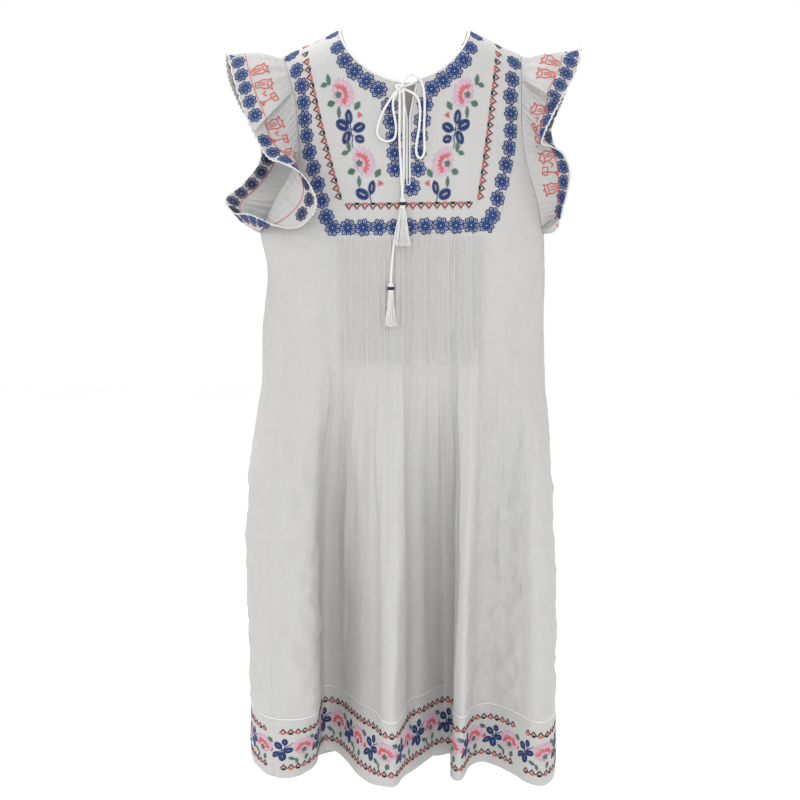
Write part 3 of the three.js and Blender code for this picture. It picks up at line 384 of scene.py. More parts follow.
def neckPoint(turn, setBack, back=False):  # turn 0 is the right neck point, 1 the left one
    angle = np.pi * np.asarray(turn, float)
    power = 2 / neck["power"]
    across = np.sign(np.cos(angle)) * np.abs(np.cos(angle)) ** power
    drop = np.where(back, neck["back"], neck["front"]) + setBack
    x = neck["centre"] + (neck["half"] + setBack) * across
    return bodyPoint(x, shoulderLine(x) - drop * np.abs(np.sin(angle)) ** power, back)


def slitHalf(down):
    opened = 1 - clamp((down - neck["front"]) / (slit["closes"] - neck["front"]))
    return mix(slit["endHalf"], slit["topHalf"], opened ** slit["flare"])


def skirtShare(down):  # 0 on the chest's section, 1 on the skirt's folds
    return smooth((down - levels["skirtFrom"]) / levels["skirtBlend"])[:, None, None]


def seamFade(along):  # relief dies away above the hem seam
    return smooth((levels["seam"] - along) / 8)


def easedFall(start, eased, rows):  # rows from 0 to 1, closer together at the top
    slow = start * (1 - np.cos(np.linspace(0, np.pi / 2, eased)))
    return np.concatenate([slow, np.linspace(start, 1, rows - eased + 1)[1:]])


def foldPoint(index, down):
    index = index % len(folds)
    chest, seamX, seamY, hemX, hemY = folds[index].T if np.ndim(index) == 1 else np.moveaxis(folds[index], -1, 0)
    half = halfWidth(chest, down)
    share = clamp((down - levels["chest"]) / (levels["hem"] - levels["chest"]))
    folded = 1 - (1 - clamp((down - levels["chest"]) / (levels["seam"] - levels["chest"]))) ** foldHalf["settle"]
    bordered = clamp((down - levels["seam"]) / (levels["hem"] - levels["seam"]))
    chestX = chest / foldHalf["chest"] * half
    x = mix(seamX, hemX, bordered) * half / foldHalf["hem"]
    y = mix(seamY, hemY, bordered)
    behind = (index == 0) | (index >= rightSide)
    drop = levels["backDrop"] * smooth((hemY - foldHalf["backFrom"]) / foldHalf["backOver"]) * share * behind
    return np.stack([mix(chestX, x, folded), mix(sectionY(chestX, down, index > rightSide), y, folded), -down - drop], -1)


def skirtPoint(station, down):
    station, down = np.broadcast_arrays(np.asarray(station, float), np.asarray(down, float))
    first = np.floor(station).astype(int)
    t = (station - first)[..., None]
    return throughFour(*(foldPoint(first + k, down) for k in (-1, 0, 1, 2)), t)


# Routes of the neck tie's cords, as in the solids
tie = {"radius": 1.8, "step": 1.0, "sides": 14, "strands": 3, "lay": 9.0, "groove": 0.16}
knot = {"centre": (-1, -82.4, -86), "size": (8, 5, 7), "loops": 1.9, "sways": 0.9, "rows": 90, "sides": 12}
bridgeRoute = [(20.2, -74.8, -76.7), (16, -77, -78.5), (10, -79.5, -81.5), (2, -81.5, -84)]
loopLeftRoute = [
    (-4, -83, -88), (-9, -84, -92), (-14, -85.5, -99), (-20, -87, -108), (-26, -88.5, -119),
    (-31, -90, -131), (-34, -91.5, -143), (-33.5, -92.5, -150), (-29.5, -93.5, -155.5),
    (-23, -94, -158.5), (-16, -94, -158.5), (-10, -93, -155), (-7.8, -92.5, -146),
    (-8, -91.5, -135), (-10.2, -90, -123), (-12, -88, -111), (-11, -86, -101), (-6, -84, -92),
]
loopRightRoute = [
    (0, -83, -83), (3.5, -84, -76.5), (8, -84, -71), (13, -83.5, -68), (19, -83.5, -68.5),
    (25.5, -84.5, -74), (30, -86, -84), (32, -87.5, -99), (32.2, -89, -117), (31.5, -91.5, -136),
    (31.6, -93.5, -152), (32.2, -95.5, -166), (31, -97, -177), (26.5, -98, -182.5),
    (21.6, -97.5, -178), (20.4, -96, -168), (22, -94.5, -156), (24.3, -93, -142),
    (25.6, -91.5, -128), (25.6, -90, -114), (23.6, -88.5, -102), (18, -87, -94.5),
    (10, -85.5, -90), (2, -83.5, -87),
]
tailShortRoute = [
    (-2.4, -83, -88), (-2.6, -85.5, -97), (-2.6, -88, -110), (-2.7, -91, -125), (-2.9, -93.5, -140),
    (-2.8, -96, -155), (-2.2, -98.5, -170), (-1.4, -101, -185), (-0.6, -103.5, -199),
    (0, -107.5, -212), (0.8, -111.4, -223), (1.4, -115, -234), (1.6, -116, -240),
]
tailLongRoute = [
    (2.4, -83, -88), (3.2, -86, -98), (3.5, -88.5, -113), (3.4, -91.5, -132), (3.2, -94.5, -152),
    (3, -97.3, -170), (3, -100, -188), (2.6, -102.8, -207), (1.8, -105.6, -225),
    (0, -108, -242), (-2.8, -110.8, -260), (-6.4, -113.8, -278), (-9.8, -115.6, -296),
    (-12.2, -115.8, -314), (-13.8, -115.9, -332), (-14.8, -116.4, -348), (-15, -117, -357),
]


def throughPoints(route, step):  # an even line along a route's smooth curve
    route = np.asarray(route, float)
    gaps = np.sqrt(np.linalg.norm(np.diff(route, axis=0), axis=1))
    times = np.concatenate([[0], np.cumsum(gaps)])
    fine = np.linspace(0, times[-1], 40 * len(route))
    dense = np.stack([readCurve(times, route[:, k], fine) for k in range(3)], 1)
    reach = reachAlong(dense)
    even = np.linspace(0, reach[-1], max(3, int(round(reach[-1] / step)) + 1))
    return np.stack([np.interp(even, reach, dense[:, k]) for k in range(3)], 1)


def sweepFrames(line):  # two side directions along a line, without twist
    ahead = unit(np.gradient(line, axis=0))
    side = np.empty_like(line)
    last = unit(np.cross(ahead[0], (0, -1, 0)))
    for i, direction in enumerate(ahead):
        last = unit(last - direction * np.dot(last, direction))
        side[i] = last
    return side, np.cross(ahead, side)


def tubeGrid(line, radius, sides):  # radius is a number or a rows by sides table
    side, over = sweepFrames(line)
    angle = np.arange(sides) * 2 * np.pi / sides
    radius = np.broadcast_to(radius, (len(line), sides))[..., None]
    ring = side[:, None] * np.cos(angle)[None, :, None] + over[:, None] * np.sin(angle)[None, :, None]
    return line[:, None] + ring * radius


def cappedTube(grid):  # points and faces of a closed tube
    rows, sides = grid.shape[:2]
    points = np.concatenate([grid.reshape(-1, 3), grid[0].mean(0)[None], grid[-1].mean(0)[None]])
    k = np.arange(sides)
    n = (k + 1) % sides
    start, end = rows * sides, rows * sides + 1
    caps = [(start, b, a) for a, b in zip(k, n)]
    caps += [(end, (rows - 1) * sides + a, (rows - 1) * sides + b) for a, b in zip(k, n)]
    faces = [tuple(face) for face in gridFaces(rows, sides, 0, True)[:, ::-1].tolist()] + caps
    return points, faces


def joined(parts):  # many points-and-faces pairs as one
    points, faces, start = [], [], 0
    for partPoints, partFaces in parts:
        points.append(partPoints)
        faces += [tuple(index + start for index in face) for face in partFaces]
        start += len(partPoints)
    return np.concatenate(points), faces


def raggedMesh(name, parts):
    points, faces = joined(parts)
    data = bpy.data.meshes.new(name)
    data.from_pydata((points / 1000).tolist(), [], faces)
    data.validate()
    piece = addPiece(name, data)
    inEdit(piece, bpy.ops.mesh.normals_make_consistent, inside=False)
    smoothEdges(piece)
    return piece


def twistedCord(name, route, nodes):
    line = throughPoints(route, tie["step"])
    angle = np.arange(tie["sides"]) * 2 * np.pi / tie["sides"]
    reach = np.arange(len(line)) * tie["step"]
    swirl = tie["strands"] / 2 * (angle[None, :] + reach[:, None] * 2 * np.pi / tie["lay"])
    radius = tie["radius"] * (1 - tie["groove"] + tie["groove"] * np.abs(np.cos(swirl)) ** 0.6)
    piece = raggedMesh(name, [cappedTube(tubeGrid(line, radius, tie["sides"]))])
    finishPiece(piece, cordFinish, nodes)
    length = float(np.linalg.norm(np.diff(line, axis=0), axis=1).sum()) / 1000
    return piece, (line / 1000).tolist(), round(length, 3)


def yarn(name, dark, light, roughness, sheen, deep, *grain):
    finish = Finish(name)
    fuzz = finish.noise(finish.node("ShaderNodeTexCoord", {}, out=3), *grain)
    finish.set(Base_Color=finish.blend(fuzz, dark, light), Roughness=roughness, Sheen_Weight=sheen,
               Normal=finish.bump(fuzz, deep, 0.6))
    return finish.material


cordFinish = yarn("cottonCord", (0.60, 0.597, 0.585), (0.73, 0.727, 0.712), 0.9, 0.3, 0.0003, 900, 3)
bandFinish = yarn("navyThread", (0.006, 0.009, 0.026), (0.015, 0.022, 0.062), 0.5, 0.03, 0.0002, 700, 2, (1, 1, 3))

tassels = {
    "short": {"head": (1.6, -116, -242), "drop": 62, "spreadX": 12.5, "spreadY": 5, "lean": -7, "seed": 4},
    "long": {"head": (-15, -118, -360), "drop": 57, "spreadX": 8.5, "spreadY": 4.2, "lean": -3, "seed": 9},
    "radius": 3.8, "above": 6, "below": 9, "strands": 110, "thread": 0.42, "threadSides": 4, "threadRows": 8,
    "rooted": 0.75, "tucked": 3, "uneven": 5, "wobble": 0.8, "headRows": 34, "headSides": 28, "ribs": 14, "ribDeep": 0.05,
    "bandHeight": 4.5, "band": 1.1, "turns": 5, "ringSteps": 40, "ringSides": 8,
}


def headShape(spec):
    x, y, z = spec["head"]
    r, top, bottom = tassels["radius"], tassels["above"], -tassels["below"]
    outline = [(0.02, top), (0.45 * r, top * 0.95), (0.8 * r, top * 0.62), (r, top * 0.2), (r * 1.02, -1),
               (r * 0.98, bottom * 0.5), (r * 0.9, bottom * 0.85), (r * 0.5, bottom), (0.02, bottom)]
    heights, sides = np.linspace(0, len(outline) - 1, tassels["headRows"]), tassels["headSides"]
    radius = np.interp(heights, range(len(outline)), [p[0] for p in outline])
    level = np.interp(heights, range(len(outline)), [p[1] for p in outline])
    angle = np.arange(sides) * 2 * np.pi / sides
    ribbed = radius[:, None] * (1 + tassels["ribDeep"] * np.cos(tassels["ribs"] * angle)[None])
    return cappedTube(np.stack([x + ribbed * np.cos(angle), y + ribbed * np.sin(angle),
                                z + np.repeat(level[:, None], sides, 1)], -1))


def tasselSkirt(spec):
    draw = np.random.default_rng(spec["seed"])
    x, y, z = spec["head"]
    parts = []
    for _ in range(tassels["strands"]):
        angle, reach = draw.uniform(0, 2 * np.pi), math.sqrt(draw.uniform(0.02, 1))
        inside = tassels["rooted"] * tassels["radius"] * reach
        root = np.array([x + inside * math.cos(angle), y + inside * math.sin(angle),
                         z - tassels["below"] + tassels["tucked"]])
        tip = np.array([x + spec["spreadX"] * reach * math.cos(angle) * 0.95,
                        y + spec["lean"] + spec["spreadY"] * reach * math.sin(angle),
                        z - spec["drop"] + draw.uniform(0, tassels["uneven"])])
        t = np.linspace(0, 1, tassels["threadRows"])[:, None]
        line = mix(root, tip, t ** 1.15)
        line[:, 2] = mix(root[2], tip[2], t[:, 0])
        wobble = draw.uniform(-tassels["wobble"], tassels["wobble"], 2)
        line[:, 0] += wobble[0] * np.sin(t[:, 0] * draw.uniform(4, 9))
        line[:, 1] += wobble[1] * np.sin(t[:, 0] * draw.uniform(4, 9))
        thick = tassels["thread"] * (1 + 0.25 * np.sin(t * 14 + angle))
        parts.append(cappedTube(tubeGrid(line, thick, tassels["threadSides"])))
    return parts


def windingBand(spec):
    x, y, z = spec["head"]
    inner, steps, sides = tassels["radius"] + 0.3, tassels["ringSteps"], tassels["ringSides"]
    wire = tassels["bandHeight"] / tassels["turns"] / 2
    middle = z - tassels["below"] / 2 + tassels["bandHeight"] / 2
    parts = []
    for k in range(tassels["turns"]):
        angle = np.linspace(0, 2 * np.pi, steps + 1)[:-1]
        level = middle - tassels["bandHeight"] / 2 + wire * (2 * k + 1)
        tube = np.linspace(0, 2 * np.pi, sides + 1)[:-1]
        radius = inner + 0.5 * tassels["band"] + 0.55 * tassels["band"] * np.cos(tube)
        grid = np.stack(np.broadcast_arrays(x + radius[None] * np.cos(angle)[:, None],
                                            y + radius[None] * np.sin(angle)[:, None],
                                            level + wire * np.sin(tube)[None]), -1)
        rows = gridFaces(steps + 1, sides, 0, True) % (steps * sides)
        parts.append((grid.reshape(-1, 3), [tuple(face) for face in rows.tolist()]))
    return parts


def knotShape():
    turn = np.linspace(0, 2 * np.pi, knot["rows"])
    centre, size = np.array(knot["centre"]), np.array(knot["size"])
    wrap = np.stack([np.sin(turn) + knot["loops"] * np.sin(2 * turn), np.sin(3 * turn) * knot["sways"],
                     np.cos(turn) - knot["loops"] * np.cos(2 * turn)], 1)
    wrap /= np.abs(wrap).max(0)
    line = centre + wrap * (size - tie["radius"])
    return cappedTube(tubeGrid(line, tie["radius"], knot["sides"]))


for tasselName in ("short", "long"):
    spec = tassels[tasselName]
    spec["piece"] = raggedMesh("tassel_skirt_" + tasselName, [headShape(spec), *tasselSkirt(spec)])
    finishPiece(spec["piece"], cordFinish, ["tassel_" + tasselName])
    spec["winding"] = raggedMesh("tassel_winding_" + tasselName, windingBand(spec))
    finishPiece(spec["winding"], bandFinish, ["tassel_band_" + tasselName])

finishPiece(raggedMesh("knot_wraps", [knotShape()]), cordFinish, ["tie_knot"])

for cordName, route in (("loop_left", loopLeftRoute), ("loop_right", loopRightRoute)):
    piece, path, length = twistedCord("cord_" + cordName, route, ["tie_" + cordName])
for cordName, route in (("short", tailShortRoute), ("long", tailLongRoute)):
    piece, path, length = twistedCord("cord_tail_" + cordName, route, ["tie_tail_" + cordName])
bridgePiece, _, _ = twistedCord("cord_bridge", bridgeRoute, ["tie_bridge"])
print("neck tie made")


def crinkle(across, along, wide, long, seed):  # even noise from minus one to one, smooth
    draw = np.random.default_rng(seed)
    table = draw.uniform(-1, 1, (257, 257))
    u, v = np.asarray(across) / wide, np.asarray(along) / long
    i, j = np.floor(u).astype(int), np.floor(v).astype(int)
    s, t = smooth(u - i), smooth(v - j)
    a, b = table[i % 257, j % 257], table[(i + 1) % 257, j % 257]
    c, d = table[i % 257, (j + 1) % 257], table[(i + 1) % 257, (j + 1) % 257]
    return mix(mix(a, b, s), mix(c, d, s), t)


lip = {"sway": 3.0, "swayLong": 90, "sharp": 1.3, "fade": 2.2, "creaseFade": 1.6}


def besideCrease(across, along, x, fall, lean, long):  # how far off a crease a place lies, and its share in it
    angle = math.radians(lean)
    run = (along - fall) * math.cos(angle) + (across - x) * math.sin(angle)
    off = (across - x) * math.cos(angle) - (along - fall) * math.sin(angle)
    return off, clamp(1 - np.abs(run) / (long / 2))


def creases(across, along, rows):  # rows of x, down, lean in degrees, length, width, depth
    total = np.zeros(np.broadcast(across, along).shape)
    for *line, wide, deep in rows:
        off, reach = besideCrease(across, along, *line)
        total += deep * np.exp(-(off / wide) ** 2) * smooth(reach * lip["creaseFade"])
    return total


def foldLips(across, along, rows):  # a sharp lip with cloth higher on one side: the same columns
    total = np.zeros(np.broadcast(across, along).shape)
    for x, fall, lean, long, wide, deep in rows:
        off, reach = besideCrease(across, along, x, fall, lean, long)
        off = off + lip["sway"] * np.sin((along - fall) / lip["swayLong"] + x)
        total += deep * np.tanh(off / lip["sharp"]) * np.exp(-np.abs(off) / wide) * smooth(reach * lip["fade"])
    return total


def crumple(across, along, size, seed):  # small sharp creases running every way
    total = 0
    for k, (turn, scale, weight) in enumerate(((0.6, 1.0, 1.0), (-0.9, 0.62, 0.7), (0.15, 0.4, 0.4))):
        u = across * math.cos(turn) + along * math.sin(turn)
        v = along * math.cos(turn) - across * math.sin(turn)
        total = total - weight * np.abs(crinkle(u + 900, v + 900, size * scale, size * scale * 1.7, seed + k))
    return total + 0.8


def starting(at, spec):  # 0 before a place, 1 once it is well past
    return smooth((at - spec["from"]) / spec["over"])


def crinkleLayer(spec, key, flat, along, shift=0):  # one sort of crinkle, by its settings
    sort = spec[key]
    deep = sort["deep"] * (starting(along, sort) if "from" in sort else 1)
    return crinkle(flat, along, sort["wide"], sort["long"], spec["seed"] + shift) * deep


def crumpleLayer(spec, flat, across, along):  # stronger towards the sides and lower down
    sort, sides = spec["crumple"], spec["side"]
    deep = sort["least"] + sides["crumple"] * starting(np.abs(across), sides)
    return crumple(flat, along, sort["size"], sort["seed"]) * deep * starting(along, sort)


def drawIn(grid):  # keeps the pieces just apart at a grid's side edges
    drawn = grid.copy()
    drawn[:, 0] += unit(grid[:, 1] - grid[:, 0]) * seamGap / 8
    drawn[:, -1] += unit(grid[:, -2] - grid[:, -1]) * seamGap / 8
    return drawn


def seamEdge(side, down, back=False):  # chest x of the seams beside the gores
    chest = seamChest["back"] if back else seamChest["left" if side < 0 else "right"]
    share = smooth((down - levels["underarm"]) / (levels["settles"] - levels["underarm"]))
    return side * mix(np.abs(armholeX(side, levels["underarm"])), chest, share)


def chestStations(chestX, first, last):  # the fold stations under points of the chest, seam to seam
    table = np.linspace(first, last, 1600)
    places = throughFour(*(folds[(np.floor(table).astype(int) + k) % len(folds), 0] for k in (-1, 0, 1, 2)), table % 1)
    ends = np.interp([chestX[0], 0, chestX[-1]], sorted([chestX[0], 0, chestX[-1]]),
                     sorted([places[0], 0, places[-1]]))
    spread = np.where(chestX < 0, min(ends[0], ends[2]) / min(chestX[0], chestX[-1]),
                      max(ends[0], ends[2]) / max(chestX[0], chestX[-1]))
    order = 1 if places[-1] > places[0] else -1
    return np.interp(order * chestX * spread, order * places, table)


def yokeBottom(x):
    return -mix(yoke["left"], yoke["right"], (x - yoke["leftX"]) / (yoke["rightX"] - yoke["leftX"]))


slitEnd = -(slit["end"] + slit["strip"] + seamGap)


yokeShell = {"shoulder": 26, "neck": 54, "above": 58, "below": 24, "seed": 11, "shift": 300,
             "crinkle": {"wide": 5.5, "long": 60, "deep": 0.35}, "soft": {"wide": 22, "long": 70, "deep": 1.1}}


def yokeWrinkles(x, z):
    flat = x + yokeShell["shift"]
    return crinkleLayer(yokeShell, "crinkle", flat, -z) + crinkleLayer(yokeShell, "soft", flat, -z, 1)


def yokeSurface(x, z):
    x, z = np.asarray(x, float), np.asarray(z, float)
    away = bodyPoint(x, z)
    falls, runs = bodyPoint(x, z - 1) - bodyPoint(x, z + 1), bodyPoint(x + 1, z) - bodyPoint(x - 1, z)
    return away + unit(np.cross(falls, runs)) * yokeWrinkles(x, z)[..., None]


def yokeHalf(side):
    setBack = neck["strip"] + neck["gap"]
    tip, point = yokeSideX(side, shoulder["tip"]), neck["centre"] + side * (neck["half"] + setBack)
    edge = lambda z: slit["x"] + side * (slitHalf(-z) + slit["strip"] + seamGap)
    top = np.linspace(tip, point, yokeShell["shoulder"])
    turns = np.linspace(0, 0.5, yokeShell["neck"] * 3)
    curve = neckPoint(turns if side > 0 else 1 - turns, setBack)
    clear = side * (curve[:, 0] - slit["x"]) > slit["topHalf"] + slit["strip"] + 1
    curve = curve[clear][1::3]
    starts = np.concatenate([np.stack([top, shoulderLine(top)], 1), curve[:, [0, 2]],
                             [[edge(-neck["front"] - setBack), -neck["front"] - setBack]]])
    share = clamp((starts[:, 0] - yokeSideX(side, -starts[:, 1])) / (edge(starts[:, 1]) - yokeSideX(side, -starts[:, 1])))
    foot = mix(yokeSideX(side, yoke["left"]), slit["x"], share)
    fall = easedFall(0.25, 14, yokeShell["above"])
    above = mix(starts[None, :, 1], slitEnd, fall[:, None])
    below = mix(slitEnd, yokeBottom(foot)[None], np.linspace(0, 1, yokeShell["below"])[1:, None])
    z = np.concatenate([above, below])
    x = mix(yokeSideX(side, -z), edge(z), share[None])
    if side < 0:
        return x, z, len(fall)
    return x[:, ::-1], z[:, ::-1], len(fall)


leftX, leftZ, slitRow = yokeHalf(-1)
rightX, rightZ, _ = yokeHalf(1)
grids = []
for x, z in ((leftX, leftZ), (rightX, rightZ)):
    grids.append((yokeSurface(x, z), np.stack([x, -z], 2) / 1000))
middleX = np.stack([leftX[slitRow - 1:, -1], rightX[slitRow - 1:, 0]], 1)
middleZ = np.stack([leftZ[slitRow - 1:, -1], rightZ[slitRow - 1:, 0]], 1)
grids.append((yokeSurface(middleX, middleZ), np.stack([middleX, -middleZ], 2) / 1000))
yokePiece = clothShell("yoke_cloth", grids, "front_yoke")


panel = {"sideColumns": 34, "strapRows": 60, "tuckRows": 44, "skirtRows": 96, "rise": 2.9, "seed": 23,
         "side": {"from": 92, "over": 40, "crumple": 4.2},
         "crumple": {"size": 34, "seed": 81, "least": 0.6, "from": 460, "over": 260},
         "fine": {"size": 24, "seed": 84, "deep": 2.2, "from": 250, "over": 60},
         "crinkle": {"wide": 9, "long": 90, "deep": 0.5},
         "soft": {"wide": 26, "long": 60, "deep": 1.3, "from": 300, "over": 200}}
# x at the chest, down, lean, length, width, depth (minus is a trough)
frontCreases = [
    (-98, 620, 0, 520, 6, 2.4), (-84, 640, 1, 470, 6, -2.4), (-66, 660, 0, 560, 6, 2.2), (-52, 560, 1, 330, 5, -2.0),
    (-38, 700, 0, 520, 6, 2.2), (-30, 560, 0, 300, 4, 1.8), (-18, 640, 0, 420, 5, -2.2), (0, 640, 0, 460, 5, 4.4),
    (14, 640, 1, 420, 6, -2.4), (26, 600, 0, 380, 5, 2.0), (38, 720, 0, 460, 7, -2.2), (48, 580, 0, 300, 4, 1.8),
    (64, 640, 1, 420, 6, 2.0), (78, 700, 1, 560, 6, 2.6), (94, 600, 0, 300, 5, -1.8), (104, 620, 0, 420, 5, 2.2),
    (118, 600, 4, 400, 7, 2.4), (130, 640, 2, 420, 5, -1.8), (142, 650, 1, 520, 3, 2.6),
    (-140, 560, 18, 120, 7, 2.2), (-150, 620, 14, 160, 8, -2.4), (-128, 690, 10, 190, 8, 2.2),
    (-156, 700, -8, 150, 8, 2.2),
    (140, 560, -16, 130, 7, 2.2), (152, 620, -12, 160, 8, -2.4), (134, 680, -9, 180, 8, 2.2), (156, 720, 8, 150, 8, -2.2),
    (-140, 380, 12, 110, 7, 1.8), (150, 390, -12, 120, 7, 1.8), (-128, 450, 6, 120, 6, -1.8),
    (138, 460, -6, 120, 6, -1.8),
    (-118, 860, 24, 150, 6, 2.6), (-132, 900, 32, 110, 5, -2.2), (-146, 930, 14, 120, 5, 2.4),
    (-108, 760, -20, 90, 5, 1.8),
    (128, 880, -28, 140, 6, 2.4), (144, 840, -36, 110, 5, -2.2), (118, 930, -18, 110, 5, 2.2), (150, 930, 22, 90, 5, 2.0),
]
frontLips = [
    (-106, 700, 0, 640, 14, -2.2), (-70, 760, 0, 420, 10, -1.6), (-34, 640, 1, 380, 8, 1.2), (-9, 700, 0, 520, 8, 1.4),
    (22, 560, 0, 260, 7, -1.0), (58, 700, 0, 460, 10, 1.4), (86, 720, 1, 620, 14, 2.2), (112, 560, 5, 360, 10, -1.3),
    (-88, 500, 0, 200, 8, -1.0), (-50, 520, 0, 220, 8, -1.1), (40, 510, 0, 220, 7, 1.0), (70, 520, 0, 240, 8, -1.2),
]


def tuckProfile(x, down):
    place = (x - tucks["firstX"]) / tuckPitch
    inside = smooth((x - tucks["firstX"] + 1) / 2) * smooth((tucks["lastX"] - x + 1) / 2)
    sewn = smooth((down - tucks["top"] + 2) / 4) * (1 - smooth((down - tucks["end"]) / tucks["opens"]) * tucks["loses"])
    sewn = sewn * (1 - smooth((down - tucks["end"]) / tucks["diesOver"]))
    ridge = np.exp(-((place % 1 - tucks["ridgeAt"]) / tucks["ridgeWide"]) ** 2)
    return inside * sewn * panel["rise"] * ridge


def panelX(chestX, downs):  # outside the yoke's edges the cloth narrows to the armholes
    side = np.sign(chestX)
    inner = np.abs(np.where(side < 0, yoke["leftX"], yoke["rightX"]))
    chest = np.where(side < 0, seamChest["left"], seamChest["right"])
    outerShare = clamp((np.abs(chestX) - inner) / (chest - inner))
    seamNow = np.where(side < 0, -seamEdge(-1, downs[:, None]), seamEdge(1, downs[:, None]))
    return np.where(np.abs(chestX) > inner, side * mix(inner, seamNow, outerShare), chestX)


# the lower part: from the yoke's foot down to the hem seam
tuckPlaces = tucks["firstX"] + tuckPitch * np.concatenate(
    [k + np.array([0, 0.1, 0.18, 0.26, 0.36, 0.5, 0.75]) for k in range(tucks["count"])] + [[tucks["count"]]])
chestX = np.concatenate([
    np.linspace(-seamChest["left"], yoke["leftX"], panel["sideColumns"]),
    np.linspace(yoke["leftX"], tucks["firstX"], 6)[1:-1], tuckPlaces,
    np.linspace(tucks["lastX"], yoke["rightX"], 5)[1:-1],
    np.linspace(yoke["rightX"], seamChest["right"], panel["sideColumns"] - 4),
])
downs = np.concatenate([np.linspace(levels["underarm"], levels["chest"], panel["tuckRows"]),
                        np.linspace(levels["chest"], levels["seam"] - levels["seamRoom"], panel["skirtRows"])[1:]])
underYoke = (chestX > yoke["leftX"] - 0.01) & (chestX < yoke["rightX"] + 0.01)
cornerLift = np.where(chestX < 0, levels["underarm"] + yokeBottom(yoke["leftX"]) - seamGap,
                      levels["underarm"] + yokeBottom(yoke["rightX"]) - seamGap)
sideFade = clamp(1 - np.abs(np.abs(chestX) - np.where(chestX < 0, -yoke["leftX"], yoke["rightX"])) / 14)
topLift = np.where(underYoke, levels["underarm"] + yokeBottom(chestX) - seamGap, cornerLift * sideFade)
topFade = clamp(1 - (downs - levels["underarm"]) / 30)[:, None]
upper = bodyPoint(panelX(chestX, downs), -downs[:, None] + topLift[None] * topFade)
stations = chestStations(chestX, seamStations["frontLeft"], seamStations["frontRight"])
skirt = skirtPoint(stations[None], downs[:, None])
panelBase = mix(upper, skirt, skirtShare(downs))
lengths = clothLengths(panelBase)
across = np.broadcast_to(chestX[None], panelBase.shape[:2])
along = np.broadcast_to(downs[:, None], panelBase.shape[:2])
relief = tuckProfile(across, along) + creases(across, along, frontCreases) + foldLips(across, along, frontLips)
flat, fine = lengths[..., 0] * 1000, panel["fine"]
sideShare = starting(np.abs(across), panel["side"])
relief += crumpleLayer(panel, flat, across, along)
relief += crumple(flat, along, fine["size"], fine["seed"]) * fine["deep"] * sideShare * starting(along, fine)
relief += crinkleLayer(panel, "crinkle", flat, along) + crinkleLayer(panel, "soft", flat, along, 1)
relief *= smooth((chestX + seamChest["left"]) / 6)[None] * smooth((seamChest["right"] - chestX) / 6)[None]
relief *= seamFade(along)
panelFace = panelBase + gridNormals(panelBase) * relief[..., None]
panelGrids = [(drawIn(panelFace), lengths)]

strapShell = {"seed": 31, "shift": 400, "crinkle": {"wide": 7, "long": 40, "deep": 0.4}}
for side in (-1, 1):
    keep = (chestX <= yoke["leftX"] + 0.01) if side < 0 else (chestX >= yoke["rightX"] - 0.01)
    lastRow = panelFace[0][keep]
    shares = (np.abs(chestX[keep]) - abs(yoke["leftX"] if side < 0 else yoke["rightX"]))
    shares = shares / shares.max()
    topZ = shoulderLine(yokeSideX(side, shoulder["tip"]))
    fall = easedFall(0.25, 12, panel["strapRows"])
    z = mix(topZ, lastRow[None, :, 2], fall[:, None])
    innerX, outerX = yokeSideX(side, -z) + side * seamGap / 2, armholeX(side, -z)
    strapX = mix(innerX, outerX, shares[None])
    strap = bodyPoint(strapX, z)
    wrinkle = crinkleLayer(strapShell, "crinkle", strapX + strapShell["shift"], -z)[..., None]
    strap += gridNormals(strap) * wrinkle * smooth((1 - fall) * 5)[:, None, None]
    settle = smooth((fall - 0.9) / 0.1)[:, None, None]
    strap = strap + (lastRow - strap[-1]) * settle
    panelGrids.append((strap, np.stack([strapX, -z], 2) / 1000))
frontPiece = clothShell("front_cloth", panelGrids, "front_panel")


backShell = {"columns": 128, "upperRows": 62, "seed": 41, "creased": 1.6, "lipped": 1.3, "shift": 300,
             "side": {"from": 80, "over": 50, "crumple": 4.0},
             "crumple": {"size": 34, "seed": 91, "least": 0.8, "from": 420, "over": 260},
             "crinkle": {"wide": 8, "long": 80, "deep": 0.5}, "soft": {"wide": 30, "long": 80, "deep": 1.4}}
backCreases = [
    (-120, 640, 0, 520, 8, 2.4), (-88, 700, 1, 560, 8, -2.2), (-52, 620, 0, 480, 7, 2.2), (-14, 720, 0, 600, 8, 2.4),
    (22, 640, -1, 480, 7, -2.2), (60, 700, 0, 560, 8, 2.4), (98, 620, 0, 460, 7, -2.0), (132, 700, 0, 520, 8, 2.2),
    (-146, 420, 16, 150, 8, 1.8), (146, 420, -16, 150, 8, 1.8), (-100, 330, 22, 130, 8, 1.6),
    (104, 340, -24, 140, 8, -1.6),
    (-60, 250, 8, 170, 9, 1.2), (62, 240, -8, 170, 9, 1.2), (0, 300, 0, 220, 9, -1.2), (-150, 600, 10, 160, 9, -1.8),
    (150, 600, -10, 160, 9, -1.8),
]
backLips = [
    (-104, 720, 0, 600, 14, 1.8), (-66, 680, 1, 460, 10, -1.4), (-30, 760, 0, 420, 9, 1.4), (10, 640, 0, 420, 9, -1.4),
    (44, 740, 0, 460, 10, 1.4), (92, 700, -1, 600, 14, -1.8), (126, 600, 4, 320, 10, 1.2),
]
setBack = neck["strip"] + neck["gap"]
points = [neck["centre"] + sign * (neck["half"] + setBack) for sign in (1, -1)]
rightTop = np.linspace(armholeX(1, shoulder["tip"]), points[0], 30)
leftTop = np.linspace(points[1], armholeX(-1, shoulder["tip"]), 30)
turns = np.linspace(0, 1, backShell["columns"] - 58)[1:-1]
neckCurve = neckPoint(turns, setBack, True)
starts = np.concatenate([np.stack([rightTop, shoulderLine(rightTop)], 1), neckCurve[:, [0, 2]],
                         np.stack([leftTop, shoulderLine(leftTop)], 1)])
